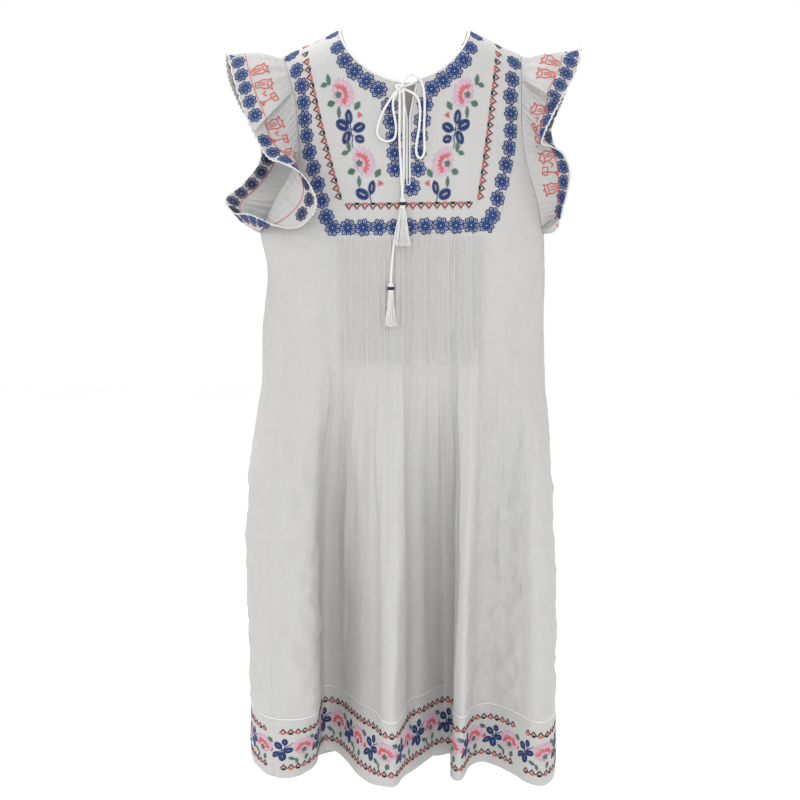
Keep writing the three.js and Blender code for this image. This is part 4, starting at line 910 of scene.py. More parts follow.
share = clamp((starts[:, 0] - armholeX(1, -starts[:, 1])) / (armholeX(-1, -starts[:, 1]) - armholeX(1, -starts[:, 1])))
fall = easedFall(0.2, 14, backShell["upperRows"])
z = mix(starts[None, :, 1], -float(levels["underarm"]), fall[:, None])
x = mix(armholeX(1, -z), armholeX(-1, -z), share[None])
shoulderRoom = np.where(np.abs(starts[:, 1] - shoulderLine(starts[:, 0])) < 0.01, seamGap, 0)
upperBack = bodyPoint(x, z, True)
upperBack[0, :, 1] += shoulderRoom
backDowns = np.concatenate([np.linspace(levels["underarm"], levels["chest"], 34)[1:],
                            np.linspace(levels["chest"], levels["seam"] - levels["seamRoom"], panel["skirtRows"])[1:]])
width = backDowns[:, None]
edgeR, edgeL = seamEdge(1, width, True), seamEdge(-1, width, True)
lowX = mix(edgeR, edgeL, share[None])
chestBack = mix(float(seamChest["back"]), -float(seamChest["back"]), share)
backStations = chestStations(chestBack, seamStations["backRight"], seamStations["backLeft"])
lowerBack = mix(bodyPoint(lowX, -width + 0 * lowX, True), skirtPoint(backStations[None], width), skirtShare(backDowns))
backBase = np.concatenate([upperBack, lowerBack])
backLengths = clothLengths(backBase)
across = np.concatenate([x, np.broadcast_to(chestBack, lowX.shape)])
along = np.concatenate([-z, np.broadcast_to(width, lowX.shape)])
flat = across + backShell["shift"]
relief = creases(across, along, backCreases) * backShell["creased"]
relief += foldLips(across, along, backLips) * backShell["lipped"]
relief += crinkleLayer(backShell, "crinkle", flat, along) + crumpleLayer(backShell, flat, across, along)
relief += crinkleLayer(backShell, "soft", flat, along, 1)
relief *= smooth((share * 340) / 6)[None] * smooth(((1 - share) * 340) / 6)[None] * seamFade(along)
relief *= smooth((shoulderLine(across) - (-along)) / 10)
backFace = backBase + gridNormals(backBase) * relief[..., None]
backPiece = clothShell("back_cloth", [(drawIn(backFace), backLengths)], "back_panel")


goreShell = {"cells": 20, "seed": 53, "dip": 5, "dipOver": 20,
             "cut": {"left": (0.20, 0.74), "right": (0.22, 0.74)},
             "area": {"left": 0.12, "right": 0.125}, "crinkle": {"wide": 9, "long": 60, "deep": 0.5},
             "crumple": {"size": 30, "seed": 95, "least": 1.2, "more": 3.2, "from": 560, "over": 120}}
goreCreases = {
    -1: [(8, 430, 0, 260, 6, 1.8), (24, 560, 10, 220, 7, -2.2), (36, 620, -8, 240, 7, 2.2), (14, 700, 6, 220, 7, 2.0),
         (30, 800, 0, 300, 8, -1.8), (6, 880, 0, 260, 8, 1.8)],
    1: [(8, 430, 0, 260, 6, 1.8), (22, 570, -10, 220, 7, -2.2), (34, 640, 8, 240, 7, 2.2), (12, 720, -6, 220, 7, 2.0),
        (28, 820, 0, 300, 8, -1.8), (8, 900, 0, 260, 8, 1.8)],
}


def sectionX(side, y, down):  # the chest section the other way round
    back = y > shoulder["y"]
    depth = np.where(back, readCurve(bodyShape["down"], bodyShape["back"], down) - shoulder["y"],
                     readCurve(bodyShape["down"], bodyShape["front"], down) + shoulder["y"])
    flat = np.where(back, section["backFlat"], section["frontFlat"])
    square = np.where(back, section["backSquare"], section["frontSquare"])
    reach = clamp(np.abs(y - shoulder["y"]) / depth) ** (1 / flat)
    return side * sided(bodyShape, side, down) * (1 - reach) ** (1 / square)


def goreGrid(side, downs):
    cells = goreShell["cells"]
    fore = sectionY(seamEdge(side, downs), downs, False)[:, None]
    rear = sectionY(seamEdge(side, downs, True), downs, True)[:, None]
    half = np.linspace(0, 1, cells + 1)[None]
    middle = shoulder["y"]
    depths = np.concatenate([mix(fore, middle, half), mix(middle, rear, half[:, 1:])], 1)
    if side < 0:
        depths = depths[:, ::-1]
    dip = np.sin(np.pi * np.linspace(0, 1, 2 * cells + 1))[None] * goreShell["dip"]
    dip = dip * clamp(1 - (downs - levels["underarm"]) / goreShell["dipOver"])[:, None]
    upper = np.stack([sectionX(side, depths, downs[:, None]), depths, -downs[:, None] - dip + 0 * depths], -1)
    first, centre, last = (seamStations["frontRight"], rightSide, seamStations["backRight"])
    if side < 0:
        first, centre, last = (seamStations["backLeft"] - len(folds), 0, seamStations["frontLeft"])
    stations = np.concatenate([np.linspace(first, centre, cells + 1), np.linspace(centre, last, cells + 1)[1:]])
    lower = skirtPoint(stations[None], downs[:, None])
    return mix(upper, lower, skirtShare(downs))


goreDowns = np.concatenate([[levels["underarm"]], backDowns])
for side, word in ((-1, "left"), (1, "right")):
    base = goreGrid(side, goreDowns)
    lengths = clothLengths(base)
    across, along = lengths[..., 0] * 1000, np.broadcast_to(goreDowns[:, None], base.shape[:2])
    relief = creases(across, along, goreCreases[side]) + crinkleLayer(goreShell, "crinkle", across, along)
    sort = goreShell["crumple"]
    deep = sort["least"] + sort["more"] * starting(along, sort)
    relief += crumple(across, along, sort["size"], sort["seed"] + side) * deep
    edge = np.linspace(0, 1, base.shape[1])[None]
    relief = relief * smooth(edge * 10) * smooth((1 - edge) * 10) * seamFade(along)
    face = base + gridNormals(base) * relief[..., None]
    gore = clothShell("gore_cloth_" + word, [(drawIn(face), lengths)], "side_gore_" + word)
print("gores made")


border = {"rows": 26, "frontColumns": 250, "backColumns": 120, "sideColumns": 46, "seed": 61, "middle": 1060.0,
          "crinkle": {"wide": 14, "long": 40, "deep": 0.5},
          "cut": {"front": (0.78, 0.102), "back": (0.44, 0.102), "left": (0.21, 0.102), "right": (0.29, 0.102)}}


def evenStations(first, last):  # stations against the arc length along the hem
    fine = np.linspace(first, last, 3000)
    return fine, reachAlong(skirtPoint(fine, border["middle"]))


borderSpans = {
    "front": (seamStations["frontLeft"], seamStations["frontRight"], border["frontColumns"]),
    "back": (seamStations["backRight"], seamStations["backLeft"], border["backColumns"]),
    "left": (seamStations["backLeft"] - len(folds), seamStations["frontLeft"], border["sideColumns"]),
    "right": (seamStations["frontRight"], seamStations["backRight"], border["sideColumns"]),
}
borderReach = {word: evenStations(first, last) for word, (first, last, _) in borderSpans.items()}


def borderSurface(word, reach, down):  # reach and down in millimetres of cloth
    reach, down = np.broadcast_arrays(np.asarray(reach, float), np.asarray(down, float))
    station = lambda at: np.interp(at, borderReach[word][1], borderReach[word][0])
    base = skirtPoint(station(reach), down)
    falls = skirtPoint(station(reach), down + 2) - skirtPoint(station(reach), down - 2)
    runs = skirtPoint(station(reach) + 0.05, down) - skirtPoint(station(reach) - 0.05, down)
    return base + unit(np.cross(falls, runs)) * crinkleLayer(border, "crinkle", reach, down)[..., None]


borderDowns = np.linspace(levels["seam"] + levels["seamRoom"], levels["hem"], border["rows"])
for word, (_, _, count) in borderSpans.items():
    reach = borderReach[word][1][-1]
    face = borderSurface(word, np.linspace(0, reach, count)[None], borderDowns[:, None])
    grids = [(drawIn(face), clothLengths(face))]
    band = clothShell("border_cloth_" + word, grids, "hem_border_" + word)
    print("border", word, "length", round(reach / 1000, 3))

pipingRow = {"radiusUp": 1.35, "radiusOut": 1.25, "columns": 620, "sides": 10}
loopStations = np.linspace(0, len(folds), pipingRow["columns"] + 1)[:-1]
rope = skirtPoint(loopStations, float(levels["seam"]))
belowRope = skirtPoint(loopStations, levels["seam"] + 4.0) - skirtPoint(loopStations, levels["seam"] - 4.0)
aheadRope = np.roll(rope, -1, 0) - np.roll(rope, 1, 0)
outRope = unit(np.cross(belowRope, aheadRope))
angle = np.arange(pipingRow["sides"]) * 2 * np.pi / pipingRow["sides"]
ring = unit(belowRope)[:, None] * (pipingRow["radiusUp"] * np.cos(angle))[None, :, None] \
    + outRope[:, None] * (pipingRow["radiusOut"] * np.sin(angle))[None, :, None]
pipeGrid = rope[:, None] + ring
count, sides = pipeGrid.shape[:2]
pipeFaces = gridFaces(count + 1, sides, 0, True) % (count * sides)
ropeReach = reachAlong(rope) / 1000
pipeCloth = np.stack(np.broadcast_arrays(ropeReach[:, None], angle[None] * 0.0013), 2).reshape(-1, 2)
piping = takeMesh("piping_strip", pipeGrid.reshape(-1, 3), pipeFaces, pipeCloth)
smoothEdges(piping, 80)
finishPiece(piping, bias, ["hem_piping"])


bindingFold = {"high": 1.25, "sides": 12, "acrossPower": 0.7, "upPower": 0.8, "neckRows": 46, "backRows": 90,
               "slitRows": 70, "turnRows": 9}


def foldedStrip(name, inner, outer, node):
    ahead = np.gradient(inner + outer, axis=0)
    across = outer - inner
    out = unit(np.cross(across, ahead))
    if np.mean(out[:, 1] * np.sign(inner[:, 1] - shoulder["y"])) < 0:
        out = -out
    angle = np.arange(bindingFold["sides"]) * 2 * np.pi / bindingFold["sides"]
    wide = np.sign(np.cos(angle)) * np.abs(np.cos(angle)) ** bindingFold["acrossPower"]
    tall = np.sign(np.sin(angle)) * np.abs(np.sin(angle)) ** bindingFold["upPower"]
    grid = (inner + outer)[:, None] / 2 + across[:, None] / 2 * wide[None, :, None]
    grid = grid + out[:, None] * (bindingFold["high"] * tall)[None, :, None]
    piece = raggedMesh(name, [cappedTube(grid)])
    reach = reachAlong(inner) / 1000
    table = np.stack(np.broadcast_arrays(reach[:, None], angle[None] * 0.002), 2).reshape(-1, 2)
    table = np.concatenate([table, table[:1], table[-1:]])
    layCloth(piece.data, table)
    finishPiece(piece, bias, [node])


def turnAt(x):
    across = (np.abs(x - neck["centre"]) / neck["half"]) ** (neck["power"] / 2)
    return math.acos(math.copysign(across, x - neck["centre"])) / math.pi


edges = [turnAt(slit["x"] + side * slitHalf(neck["front"])) for side in (1, -1)]
stops = [(t, False) for t in np.linspace(edges[0], 0, bindingFold["neckRows"])[:-1]]
stops += [(t, True) for t in np.linspace(0, 1, bindingFold["backRows"])[:-1]]
stops += [(t, False) for t in np.linspace(1, edges[1], bindingFold["neckRows"])]
neckLines = [np.array([neckPoint(t, setBack, back) for t, back in stops]) for setBack in (0, neck["strip"])]
foldedStrip("neck_strip", *neckLines, "neck_binding")


def slitLine(setBack):
    top = neck["front"] + neck["strip"] + neck["gap"]
    fallen = np.linspace(top, slit["end"], bindingFold["slitRows"])
    points = [bodyPoint(slit["x"] - slitHalf(d) - setBack, -d) for d in fallen]
    turnRound = np.linspace(-np.pi / 2, np.pi / 2, bindingFold["turnRows"])[1:-1]
    middle = slit["endHalf"] + setBack
    points += [bodyPoint(slit["x"] + middle * math.sin(a), -slit["end"] - middle * math.cos(a)) for a in turnRound]
    points += [bodyPoint(slit["x"] + slitHalf(d) + setBack, -d) for d in fallen[::-1]]
    return np.array(points)


foldedStrip("slit_strip", slitLine(0), slitLine(slit["strip"]), "slit_binding")
print("bindings made")


sleeve = {"columns": 300, "rows": 30, "bulge": 9, "pleat": 1.35, "gather": 1.0, "waves": 62, "corner": 0.06,
          "off": 0.95, "seed": 71, "round": 300, "dip": 5, "eased": 0.9, "tall": 0.09,
          "gathers": 0.1, "falls": 0.85, "wander": (9, 2, 5), "ruck": (7, 40), "ruckDeep": 1.2,
          "cut": {"left": 0.80, "right": 0.72}, "area": {"left": 0.056, "right": 0.042}}
sleeveEdge = {
    -1: np.array([
        (0, -219, -46, -263), (0.06, -180, -92, -275), (0.11, -153, -114, -278), (0.16, -133, -124, -269),
        (0.2, -120, -127, -249), (0.24, -124, -126, -225), (0.28, -141, -120, -201), (0.33, -166, -108, -189),
        (0.37, -188, -95, -179), (0.42, -212, -74, -140), (0.46, -233, -45, -88), (0.5, -252, 0, -35),
        (0.55, -255, 35, -66), (0.61, -241, 60, -108), (0.68, -216, 72, -152), (0.75, -214, 70, -188),
        (0.82, -240, 56, -224), (0.88, -262, 28, -243), (0.94, -247, -10, -262)], float),
    1: np.array([
        (0, 229, -6, -266), (0.06, 231, -37, -267), (0.12, 233, -52, -252), (0.18, 238, -58, -227),
        (0.24, 240, -62, -202), (0.29, 229, -70, -177), (0.33, 210, -85, -165), (0.37, 196, -92, -160),
        (0.41, 208, -82, -132), (0.45, 227, -58, -97), (0.48, 250, -30, -58), (0.5, 259, 0, -26),
        (0.55, 252, 32, -60), (0.61, 239, 55, -102), (0.68, 226, 70, -143), (0.76, 238, 72, -182),
        (0.84, 243, 60, -222), (0.92, 235, 30, -256)], float),
}


def armholeSeam(side, turn):
    turn = np.asarray(turn, float) % 1
    back = turn > 0.5
    half = np.where(back, 1 - turn, turn)
    down = mix(levels["underarm"], shoulder["tip"], clamp((half - sleeve["corner"]) / (0.5 - sleeve["corner"])))
    edge = bodyPoint(armholeX(side, down), -down, back)
    share = half / sleeve["corner"]
    bottom = float(levels["underarm"])
    cornerY = sectionY(armholeX(side, bottom), bottom, back)
    y = mix(shoulder["y"], cornerY, clamp(share))
    z = -levels["underarm"] - sleeve["dip"] * np.cos(np.pi * clamp(share) / 2)
    under = np.stack([sectionX(side, y, float(levels["underarm"])), y, z], -1)
    return np.where((half < sleeve["corner"])[..., None], under, edge)


def freeEdge(side, turn):
    table = sleeveEdge[side]
    turn = np.asarray(turn, float) % 1
    i = np.searchsorted(table[:, 0], turn, side="right") - 1
    ahead = np.append(table[1:, 0], 1.0)
    t = ((turn - table[i, 0]) / (ahead[i] - table[i, 0]))[..., None]
    return throughFour(*(table[(i + k) % len(table), 1:] for k in (-1, 0, 1, 2)), t)


def sleeveSurface(side, turn, share):
    turn, share = np.broadcast_arrays(np.asarray(turn, float), np.asarray(share, float))
    sewn, free = armholeSeam(side, turn), freeEdge(side, turn)
    step = 1 / 72
    along = armholeSeam(side, turn + step) - armholeSeam(side, turn - step)
    fallen = free - sewn
    out = unit(np.cross(along, fallen))
    away = (sewn + free)[..., 0] * out[..., 0] + ((sewn + free)[..., 1] - 2 * shoulder["y"]) * out[..., 1]
    out = np.where((away < 0)[..., None], -out, out)
    near = np.minimum(turn % 1, 1 - turn % 1)
    under = 1 - smooth(near / (2 * sleeve["corner"]))
    inward = 1 - np.maximum(0, side * unit(fallen)[..., 0])
    clear = unit(np.stack([side * (1 - under), 0 * under, under], -1)) * (sleeve["off"] * (1 + inward))[..., None]
    start = sewn + clear
    rise = sleeve["bulge"] * np.sin(np.pi * share)
    flat = (turn % 1) * sleeve["round"]
    pleat = crinkle(flat + 10, share * 3, 1.7, 1.4, sleeve["seed"]) * sleeve["pleat"]
    wander = 2 * crinkle(flat, share, *sleeve["wander"])
    pleat += np.sin((turn % 1) * 2 * np.pi * sleeve["waves"] + wander) * sleeve["gather"]
    gather = pleat * smooth(share / sleeve["gathers"]) * (1 - smooth(share / sleeve["falls"]))
    gather = gather + crinkle(flat + 40, share * 100, *sleeve["ruck"], sleeve["seed"] + 2) * sleeve["ruckDeep"] * share
    return mix(start, free, share[..., None]) + out * (rise + gather)[..., None]


for side, word in ((-1, "left"), (1, "right")):
    turn = np.arange(sleeve["columns"]) / sleeve["columns"]
    share = np.linspace(0, 1, sleeve["rows"]) ** sleeve["eased"]
    face = sleeveSurface(side, turn[None], share[:, None])
    lengths = clothLengths(face)
    if side > 0:
        face, lengths = face[:, ::-1], lengths[:, ::-1]
    ruffle = clothShell("ruffle_cloth_" + word, [(face, lengths)], "sleeve_" + word, closed=True)
print("sleeves made")


# dark and light tone of each thread, the dark one laid in the ply grooves as painted shade and in random flecks, and
# how far it lies over the cloth in millimetres
threadTones = {
    "navy": ((0.007, 0.019, 0.090), (0.016, 0.046, 0.175), 0.0),
    "blue": ((0.045, 0.120, 0.42), (0.11, 0.24, 0.60), 0.45),
    # a darker copy of navy as painted shade, for the daisies on the ruffles' wrong side
    "ink": ((0.010, 0.017, 0.060), (0.026, 0.042, 0.125), 0.0),
    "pink": ((0.58, 0.35, 0.48), (0.73, 0.49, 0.62), 0.0),
    "coral": ((0.54, 0.085, 0.068), (0.68, 0.165, 0.130), 0.45),
    "green": ((0.040, 0.12, 0.085), (0.09, 0.21, 0.150), 0.6),
    "red": ((0.50, 0.085, 0.075), (0.66, 0.17, 0.145), 0.15),
    "black": ((0.006, 0.004, 0.004), (0.018, 0.013, 0.013), 0.0),
    "white": ((0.60, 0.60, 0.595), (0.72, 0.72, 0.71), 0.0),
}


def stitchFinish(name, dark, light):
    finish = Finish(name)
    across, along, _ = finish.axes(finish.node("ShaderNodeUVMap", {"uv_map": "thread"}))
    ply = (across * 1000 + along * 2).wave(1.1) * 0.5 + 0.5
    fleck = finish.noise(finish.node("ShaderNodeTexCoord", {}, out=3), 420, 3)
    # the ply wave that makes the bump also darkens its grooves: painted shade between the plies
    finish.set(Base_Color=finish.blend((ply * 0.5 + fleck * 0.7 - 0.1).within(), dark, light), Roughness=0.5,
               Sheen_Weight=0.03, Specular_IOR_Level=0.25, Normal=finish.bump(ply * 0.6 + fleck * 0.4, 0.00035, 0.7))
    return finish.material


toneOrder = list(threadTones)
stitchFinishes = [stitchFinish(tone + "Thread", *threadTones[tone][:2]) for tone in toneOrder]
around = np.radians([-45, 45, 135, 225])  # four sides, one flat on the cloth
sewing = {"endThin": 0.55, "raised": 0.35, "over": 0.5, "most": 1.0, "tall": 0.75, "walks": 4, "stride": 14, "strays": 7}


def newWork():
    return {"points": [], "uv": [], "faces": [], "sizes": [], "tones": [], "start": 0}


def addThread(work, line, normal, tone, width, high, closed=False):
    count, sides = len(line), len(around)
    ahead = (np.roll(line, -1, 0) - np.roll(line, 1, 0)) if closed else np.gradient(line, axis=0)
    side = unit(np.cross(ahead, normal))
    thin = np.ones(count)
    if not closed:
        thin[[0, -1]] = sewing["endThin"]
    flat = side[:, None] * (np.cos(around) * width / 2)[None, :, None]
    tall = normal[:, None] * ((np.sin(around) + sewing["raised"]) * high / 2)[None, :, None]
    ring = line[:, None] + (flat + tall) * thin[:, None, None] + normal[:, None] * threadTones[tone][2]
    reach = reachAlong(line) / 1000
    work["points"].append(ring.reshape(-1, 3))
    work["uv"].append(np.stack(np.broadcast_arrays(reach[:, None], np.arange(sides)[None] / sides), 2).reshape(-1, 2))
    rows = np.arange(count if closed else count - 1)[:, None]
    k = np.arange(sides)[None]
    here, then, n = work["start"] + rows * sides, work["start"] + (rows + 1) % count * sides, (k + 1) % sides
    quads = np.stack([here + k, then + k, then + n, here + n], 2).reshape(-1, 4)
    work["faces"].append(quads.ravel())
    work["sizes"] += [4] * len(quads)
    if not closed:
        caps = work["start"] + k[0], work["start"] + (count - 1) * sides + k[0, ::-1]
        work["faces"] += caps
        work["sizes"] += [sides] * 2
    work["tones"] += [toneOrder.index(tone)] * (len(quads) + (0 if closed else 2))
    work["start"] += count * sides


def directions(surface, u, v, steps):
    du, dv = steps
    return ((surface(u + du, v) - surface(u - du, v)) / (2 * du), (surface(u, v + dv) - surface(u, v - dv)) / (2 * dv))


def layMarks(work, place, normal, marks, size=1.0):
    at = 0
    for tone, width, closed, points in marks:
        rows = slice(at, at + len(points))
        addThread(work, place[rows], normal[rows], tone, width * size,
                  min(sewing["most"], width * sewing["tall"]), closed)
        at += len(points)


def facing(surface, u, v, steps, outward):  # points on the cloth's face, and its normals
    normal = unit(np.cross(*directions(surface, u, v, steps))) * outward
    return surface(u, v) + normal * sewing["over"], normal


def sewFlat(work, surface, u, v, marks, steps, outward, upward=1):  # marks laid straight in the cloth's own sizes
    points = np.concatenate([mark[3] for mark in marks])
    layMarks(work, *facing(surface, u + points[:, 0], v + points[:, 1] * upward, steps, outward), marks)


def sewRound(work, surface, items, steps, outward, upward=1, within=(-1e6, 1e6)):
    owner = np.repeat(np.arange(len(items)), [sum(len(mark[3]) for mark in item[2]) for item in items])
    flat = np.concatenate([turned(np.concatenate([mark[3] for mark in marks]) * size, math.degrees(spin))
                           for _, _, marks, spin, size in items])
    u, v = (np.array([item[k] for item in items], float) for k in (0, 1))
    alongU, alongV = directions(surface, u, v, steps)
    right = unit(alongU)
    up = unit(alongV - right * (alongV * right).sum(-1, keepdims=True)) * upward
    target = surface(u, v)[owner] + flat[:, :1] * right[owner] + flat[:, 1:] * up[owner]
    onU, onV = u[owner], v[owner]
    for _ in range(sewing["walks"]):  # walk on the cloth to where each point belongs
        alongU, alongV = directions(surface, onU, onV, steps)
        rest = target - surface(onU, onV)
        a, b, c = (alongU ** 2).sum(-1), (alongU * alongV).sum(-1), (alongV ** 2).sum(-1)
        p, q = (alongU * rest).sum(-1), (alongV * rest).sum(-1)
        room = a * c - b * b + 1e-6 * a * c
        most = sewing["stride"] / np.sqrt(a), sewing["stride"] / np.sqrt(c)
        onU = onU + np.clip((c * p - b * q) / room, -most[0], most[0])
        onV = np.clip(onV + np.clip((a * q - b * p) / room, -most[1], most[1]), *within)
    place, normal = facing(surface, onU, onV, steps, outward)
    for k, (_, _, marks, _, size) in enumerate(items):
        rows = owner == k
        sewn, drawn = (np.linalg.norm(np.diff(line[rows], axis=0), axis=1) for line in (place, target))
        if (sewn - drawn).max() < sewing["strays"]:  # none where the cloth turns too sharply
            layMarks(work, place[rows], normal[rows], marks, size)


def finishWork(name, work):
    data = bpy.data.meshes.new(name)
    points, loops, sizes = np.concatenate(work["points"]) / 1000, np.concatenate(work["faces"]), np.array(work["sizes"])
    data.vertices.add(len(points))
    data.vertices.foreach_set("co", points.astype(np.float32).ravel())
    data.loops.add(len(loops))
    data.loops.foreach_set("vertex_index", loops.astype(np.int32))
    data.polygons.add(len(sizes))
    data.polygons.foreach_set("loop_start", np.concatenate([[0], np.cumsum(sizes)[:-1]]).astype(np.int32))
    data.polygons.foreach_set("loop_total", sizes.astype(np.int32))
    data.update(calc_edges=True)
    data.polygons.foreach_set("material_index", np.array(work["tones"], dtype=np.int32))
    data.polygons.foreach_set("use_smooth", np.ones(len(sizes), dtype=bool))
    layer = data.uv_layers.new(name="thread")
    layer.data.foreach_set("uv", np.concatenate(work["uv"]).astype(np.float32)[loops].ravel())
    for finish in stitchFinishes:
        data.materials.append(finish)
    piece = addPiece(name, data)
    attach(piece, "root")
    print(name, (sizes - 2).sum(), "triangles")


# stitches and motifs, in millimetres on flat cloth: tone, width, closed, points
def turned(points, degrees):
    c, s = math.cos(math.radians(degrees)), math.sin(math.radians(degrees))
    return np.asarray(points, float) @ np.array([[c, s], [-s, c]])


def satin(tone, shapes, slant=0.0, pitch=1.35, width=1.5):  # side by side stitches that fill the shapes
    flat = [turned(shape, -slant) for shape in shapes]
    low, high = min(shape[:, 1].min() for shape in flat), max(shape[:, 1].max() for shape in flat)
    marks = []
    for y in np.arange(low + pitch / 2, high, pitch):
        crossings = []
        for shape in flat:
            a, b = shape, np.roll(shape, -1, 0)
            hit = (a[:, 1] <= y) != (b[:, 1] <= y)
            crossings += (a[hit, 0] + (y - a[hit, 1]) / (b[hit, 1] - a[hit, 1]) * (b[hit, 0] - a[hit, 0])).tolist()
        crossings.sort()
        for x0, x1 in zip(crossings[::2], crossings[1::2]):
            if x1 - x0 > 0.7:
                n = 3 + int((x1 - x0) / 7)
                marks.append((tone, width, False, turned(np.stack([np.linspace(x0, x1, n), np.full(n, y)], 1), slant)))
    return marks


def oval(x, y, long, wide, lean, spikes=0, jag=0.0, count=48):
    angle = np.linspace(0, 2 * np.pi, count, endpoint=False)
    rough = 1 + jag * np.sign(np.sin(angle * spikes))
    return turned(np.stack([long / 2 * np.cos(angle) * rough, wide / 2 * np.sin(angle) * rough], 1), lean) + [x, y]


def leafShape(x, y, long, wide, lean, point=1.5):
    t = np.linspace(-1, 1, 13)
    half = wide / 2 * (1 - np.abs(t) ** point) ** 0.8
    both = np.concatenate([np.stack([t * long / 2, half], 1), np.stack([t * long / 2, -half], 1)[::-1][1:-1]])
    return turned(both, lean) + [x, y]


def leaf(x, y, long, wide, lean):
    return satin("green", [leafShape(x, y, long, wide, lean)], lean + 90, 1.25, 1.45)


def daisy(dark=False):
    marks = []
    for k in range(8):
        a = 2 * math.pi * (k + 0.5) / 8
        out, side = np.array([math.cos(a), math.sin(a)]), np.array([-math.sin(a), math.cos(a)])
        t = np.linspace(0, 2 * math.pi, 9)[:-1]
        loop = out * (6.3 + 4.5 * np.cos(t))[:, None] + side * (2.75 * np.sin(t) * (1 + 0.25 * np.cos(t)))[:, None]
        # on the wrong side the daisies take the darker copy of navy, painted shade
        marks.append(("ink" if dark else "navy", 2.1, True, loop))
        marks.append(("ink" if dark else "navy", 3.1, False, np.array([out * 1.0, out * 5.0, out * 9.0])))
        if not dark:
            marks.append(("blue", 1.05, False, np.array([out * 2.8, out * 6.0, out * 8.9])))
    return marks


def rose():  # an arch of coral over a green centre, seen from its foot
    marks = satin("pink", [oval(0, 2, 42, 29, 0, 15, 0.07, 180), oval(-9, 9, 9, 1.2, -40), oval(9, 9, 9, 1.2, 40),
                           oval(-15, -3, 7, 1.2, 12), oval(15, -3, 7, 1.2, -12), oval(0, 13, 6, 1.0, 90)], 90, 1.5, 1.65)
    t = np.radians(np.linspace(-16, 196, 40))
    jagged = 1 + 0.10 * np.sign(np.sin(t * 14))
    outer = np.stack([14 * np.cos(t) * jagged, 10.5 * np.sin(t) * jagged - 2], 1)
    inner = np.stack([7.6 * np.cos(t), 4.6 * np.sin(t) - 2], 1)[::-1]
    marks += satin("coral", [np.concatenate([outer, inner])], 90, 1.4, 1.6)
    return marks + satin("green", [oval(0, -5, 10, 8, 0, 5, 0.12)], 0, 1.3, 1.5)


def lobe(x, y, long, wide, lean):  # a leaf of two halves with a slit of bare cloth between
    slot = leafShape(x, y, long * 0.5, wide * 0.07, lean, 3)
    return satin("navy", [leafShape(x, y, long * 1.06, wide * 1.12, lean, 2.6), slot], lean + 62, 1.35, 1.9)


def stems(lines):
    return [("navy", 1.7, False, np.array(line, float)) for line in lines]


def sprig():  # as on the yoke, stem downwards
    marks = lobe(-3.0, 17.5, 21, 10, 97) + lobe(-12, 6.5, 20, 14.5, 150) + lobe(11.5, 3, 18, 13, 28)
    marks += lobe(12.5, -13, 14, 11, -20) + lobe(-6.2, -10.5, 20, 11, 72)
    return marks + stems([[(-1, 9), (0, 2), (1, -6), (3, -12), (1.5, -18), (3.5, -26)],
                          [(1, -6), (7, -10)], [(-7, 3), (0, 0), (6, 1)]])


def smallSprig():
    marks = lobe(5.5, 9, 20, 9.5, 82) + lobe(-8, 0, 20, 14, 150)
    return marks + stems([[(-1, 1), (3, -3), (4, -8), (6.5, -15)]])


def bud(x, y, lean=0.0):
    return satin("coral", [turned([(-4.6, -2.8), (4.6, -2.8), (0.5, 5.4)], lean) + [x, y]], lean, 1.2, 1.4)


def laid(marks, degrees, x=0.0, y=0.0, size=1.0):
    return [(tone, width, closed, turned(points, degrees) * size + [x, y]) for tone, width, closed, points in marks]


def tooth(dark, outside=False, pitch=11.2, high=7.6):  # one triangle of the zigzag over its short bar
    foot = pitch / 2 + 0.4
    line = np.array([(-foot, 0), (-pitch / 4, high / 2), (0, high), (pitch / 4, high / 2), (foot, 0)])
    beside = line + [0.4, 1.9] if outside else line * [0.62, 0.62] + [0, 0.9]
    bar = np.array([(-4.4, 1.3), (4.4, 1.3), (2.8, -2.3), (-2.8, -2.3)])
    if outside:
        bar = np.array([(-4.6, -0.9), (4.6, -0.9), (2.2, 2.9), (-2.2, 2.9)])
    lines = [("black", 2.1, False, line), ("red", 1.1, False, beside)]
    return lines + satin("black" if dark else "red", [bar], 0, 1.15, 1.6)


def evenPlaces(path, count, ends=True):  # points and directions evenly along a short path
    path = np.asarray(path, float)
    reach = reachAlong(path)
    at = np.linspace(0, reach[-1], count) if ends else (np.arange(count) + 0.5) * reach[-1] / count
    along = lambda where: np.stack([readCurve(reach, path[:, k], where) for k in range(path.shape[1])], 1)
    return along(at), unit(along(at + 1) - along(at - 1))


# x and z along each row of daisies on the yoke, and how many
flowerRows = [
    ([(-157, -38), (-149, -60), (-141, -84), (-137, -128), (-131, -172), (-118, -220), (-106, -264)], 11),
    ([(-97, -279), (-50, -278), (10, -277), (70, -275), (120, -276)], 11),
    ([(129, -262), (134, -246), (143, -214), (154, -166), (156, -120), (155, -94), (161, -48)], 10),
    ([(-98, -9), (-89, -30), (-75, -54), (-53, -73), (-32, -88)], 6),
    ([(106, -10), (97, -28), (83, -53), (63, -71), (42, -87)], 6),
    ([(-17, -110), (-14, -131), (-11, -154), (-9.5, -175), (-9, -197)], 5),
    ([(33, -108), (29, -131), (25, -154), (23, -175), (23, -197)], 5),
]
zigzagRows = [  # the teeth point outwards
    ([(-138, -20), (-125, -78), (-108, -150), (-84, -240)], 20), ([(-79, -245), (100, -243)], 16),
    ([(107, -240), (120, -150), (129, -78), (137, -20)], 20),
]
yokeWork = newWork()
yokeSteps = (0.5, 0.5)
draw = np.random.default_rng(5)
for path, count in flowerRows:
    points, _ = evenPlaces(path, count)
    sewRound(yokeWork, yokeSurface, [(x, z, daisy(), draw.uniform(0, 0.8), draw.uniform(1.07, 1.14)) for x, z in points],
             yokeSteps, 1)
sewRound(yokeWork, yokeSurface, [(13.5, -222, daisy(), 0.2, 1.2)], yokeSteps, 1)
